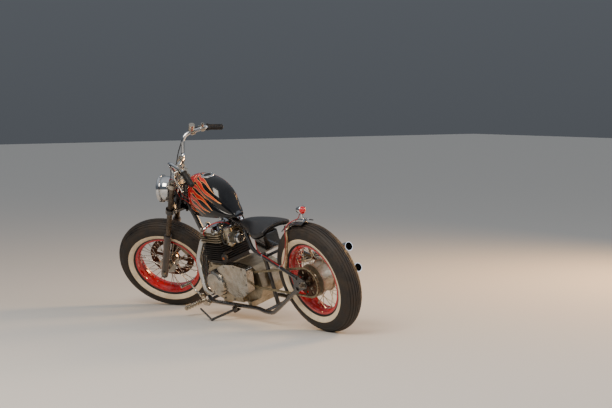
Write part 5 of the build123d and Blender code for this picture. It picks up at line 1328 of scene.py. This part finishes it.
# The horn's middle disc, whose warm tint is a painted reflection of warm light on the plating.
cone_between(bm, (744, 131.0, 454), (744, 134.5, 454), 11.0, 8.0, 32)
piece("horn_middle", bm, BIKE, horn_warm_reflection, "frame", 30.0)
bm = bmesh.new()
for number in range(5):
    middle = Vector((744, 129.0 - number * 0.6, 454))
    for turn in range(24):
        angle = 2 * math.pi * turn / 24
        rib = Vector((math.cos(angle), 0, math.sin(angle))) * (12.0 + number * 2.6)
        cone_between(bm, middle + rib - Vector((0, 1, 0)), middle + rib + Vector((0, 1.6, 0)), 0.9, 0.9, 5)
piece("horn_grille", bm, BIKE, zinc_steel, "frame", 30.0)
# A dark disc across each tail pipe's bore, a little in from the tip, is painted shade of the pipe's inside.
bm = bmesh.new()
for start, tip in (((460, -180, 336), (-118, -182, 474)), ((330, -184, 188), (-124, -204, 334))):
    run = (Vector(tip) - Vector(start)).normalized()
    cone_between(bm, Vector(tip) - run * 60, Vector(tip) - run * 57, 23.9, 23.9, 40)
piece("tail_pipe_painted_shade", bm, BIKE, painted_pipe_shade, "frame", 30.0)
print("filters, horn and soot made")

# %% [markdown]
# The stage is a plain pale floor with soft light: a broad warm key from the camera's side, a
# cool fill and a low warm light from the far side, which gives the dark paint its bright edges.

# %% Floor and light
bm = bmesh.new()
bmesh.ops.create_grid(bm, x_segments=1, y_segments=1, size=30.0)
floor_mesh = bpy.data.meshes.new("floor")
bm.to_mesh(floor_mesh)
bm.free()
floor = bpy.data.objects.new("floor", floor_mesh)
bpy.context.scene.collection.objects.link(floor)
floor_paint, tree, shader, place = material("pale_floor",
                                            {"Base Color": colour("#cfccc6"), "Roughness": 0.85})
floor_mesh.materials.append(floor_paint)

world = bpy.data.worlds.new("studio")
world.use_nodes = True
sky = world.node_tree
background = sky.nodes["Background"]
heights = add(sky, "ShaderNodeSeparateXYZ",
              links={0: add(sky, "ShaderNodeTexCoord").outputs["Generated"]}).outputs["Z"]
lower_sky = spread(sky, heights, 0.0, 1.0, -0.05, 0.35)
upper_sky = spread(sky, heights, 0.0, 1.0, 0.30, 0.95)
sky_colour = blend_colours(sky, lower_sky, "#666a70", "#848c96")
sky_colour = blend_colours(sky, upper_sky, sky_colour, "#f2f6fc")
sky.links.new(sky_colour, background.inputs["Color"])
background.inputs["Strength"].default_value = 0.6
bpy.context.scene.world = world


def area_light(name, place, target, size, power, hex_code):
    data = bpy.data.lights.new(name, "AREA")
    data.energy = power
    data.size = size
    data.color = colour(hex_code)[:3]
    lamp = bpy.data.objects.new(name, data)
    lamp.location = place
    lamp.rotation_euler = (Vector(target) - Vector(place)).to_track_quat("-Z", "Y").to_euler()
    bpy.context.scene.collection.objects.link(lamp)


area_light("key_light", (-2.5, 4.0, 4.5), (0, 0, 0.5), 3.0, 300.0, "#fff4e6")
area_light("fill_light", (-5.0, -2.0, 3.0), (0, 0, 0.5), 4.0, 90.0, "#e8f0ff")
area_light("low_sun_light", (-0.6, -5.0, 2.4), (0, 0, 0.6), 1.5, 320.0, "#ffc98a")
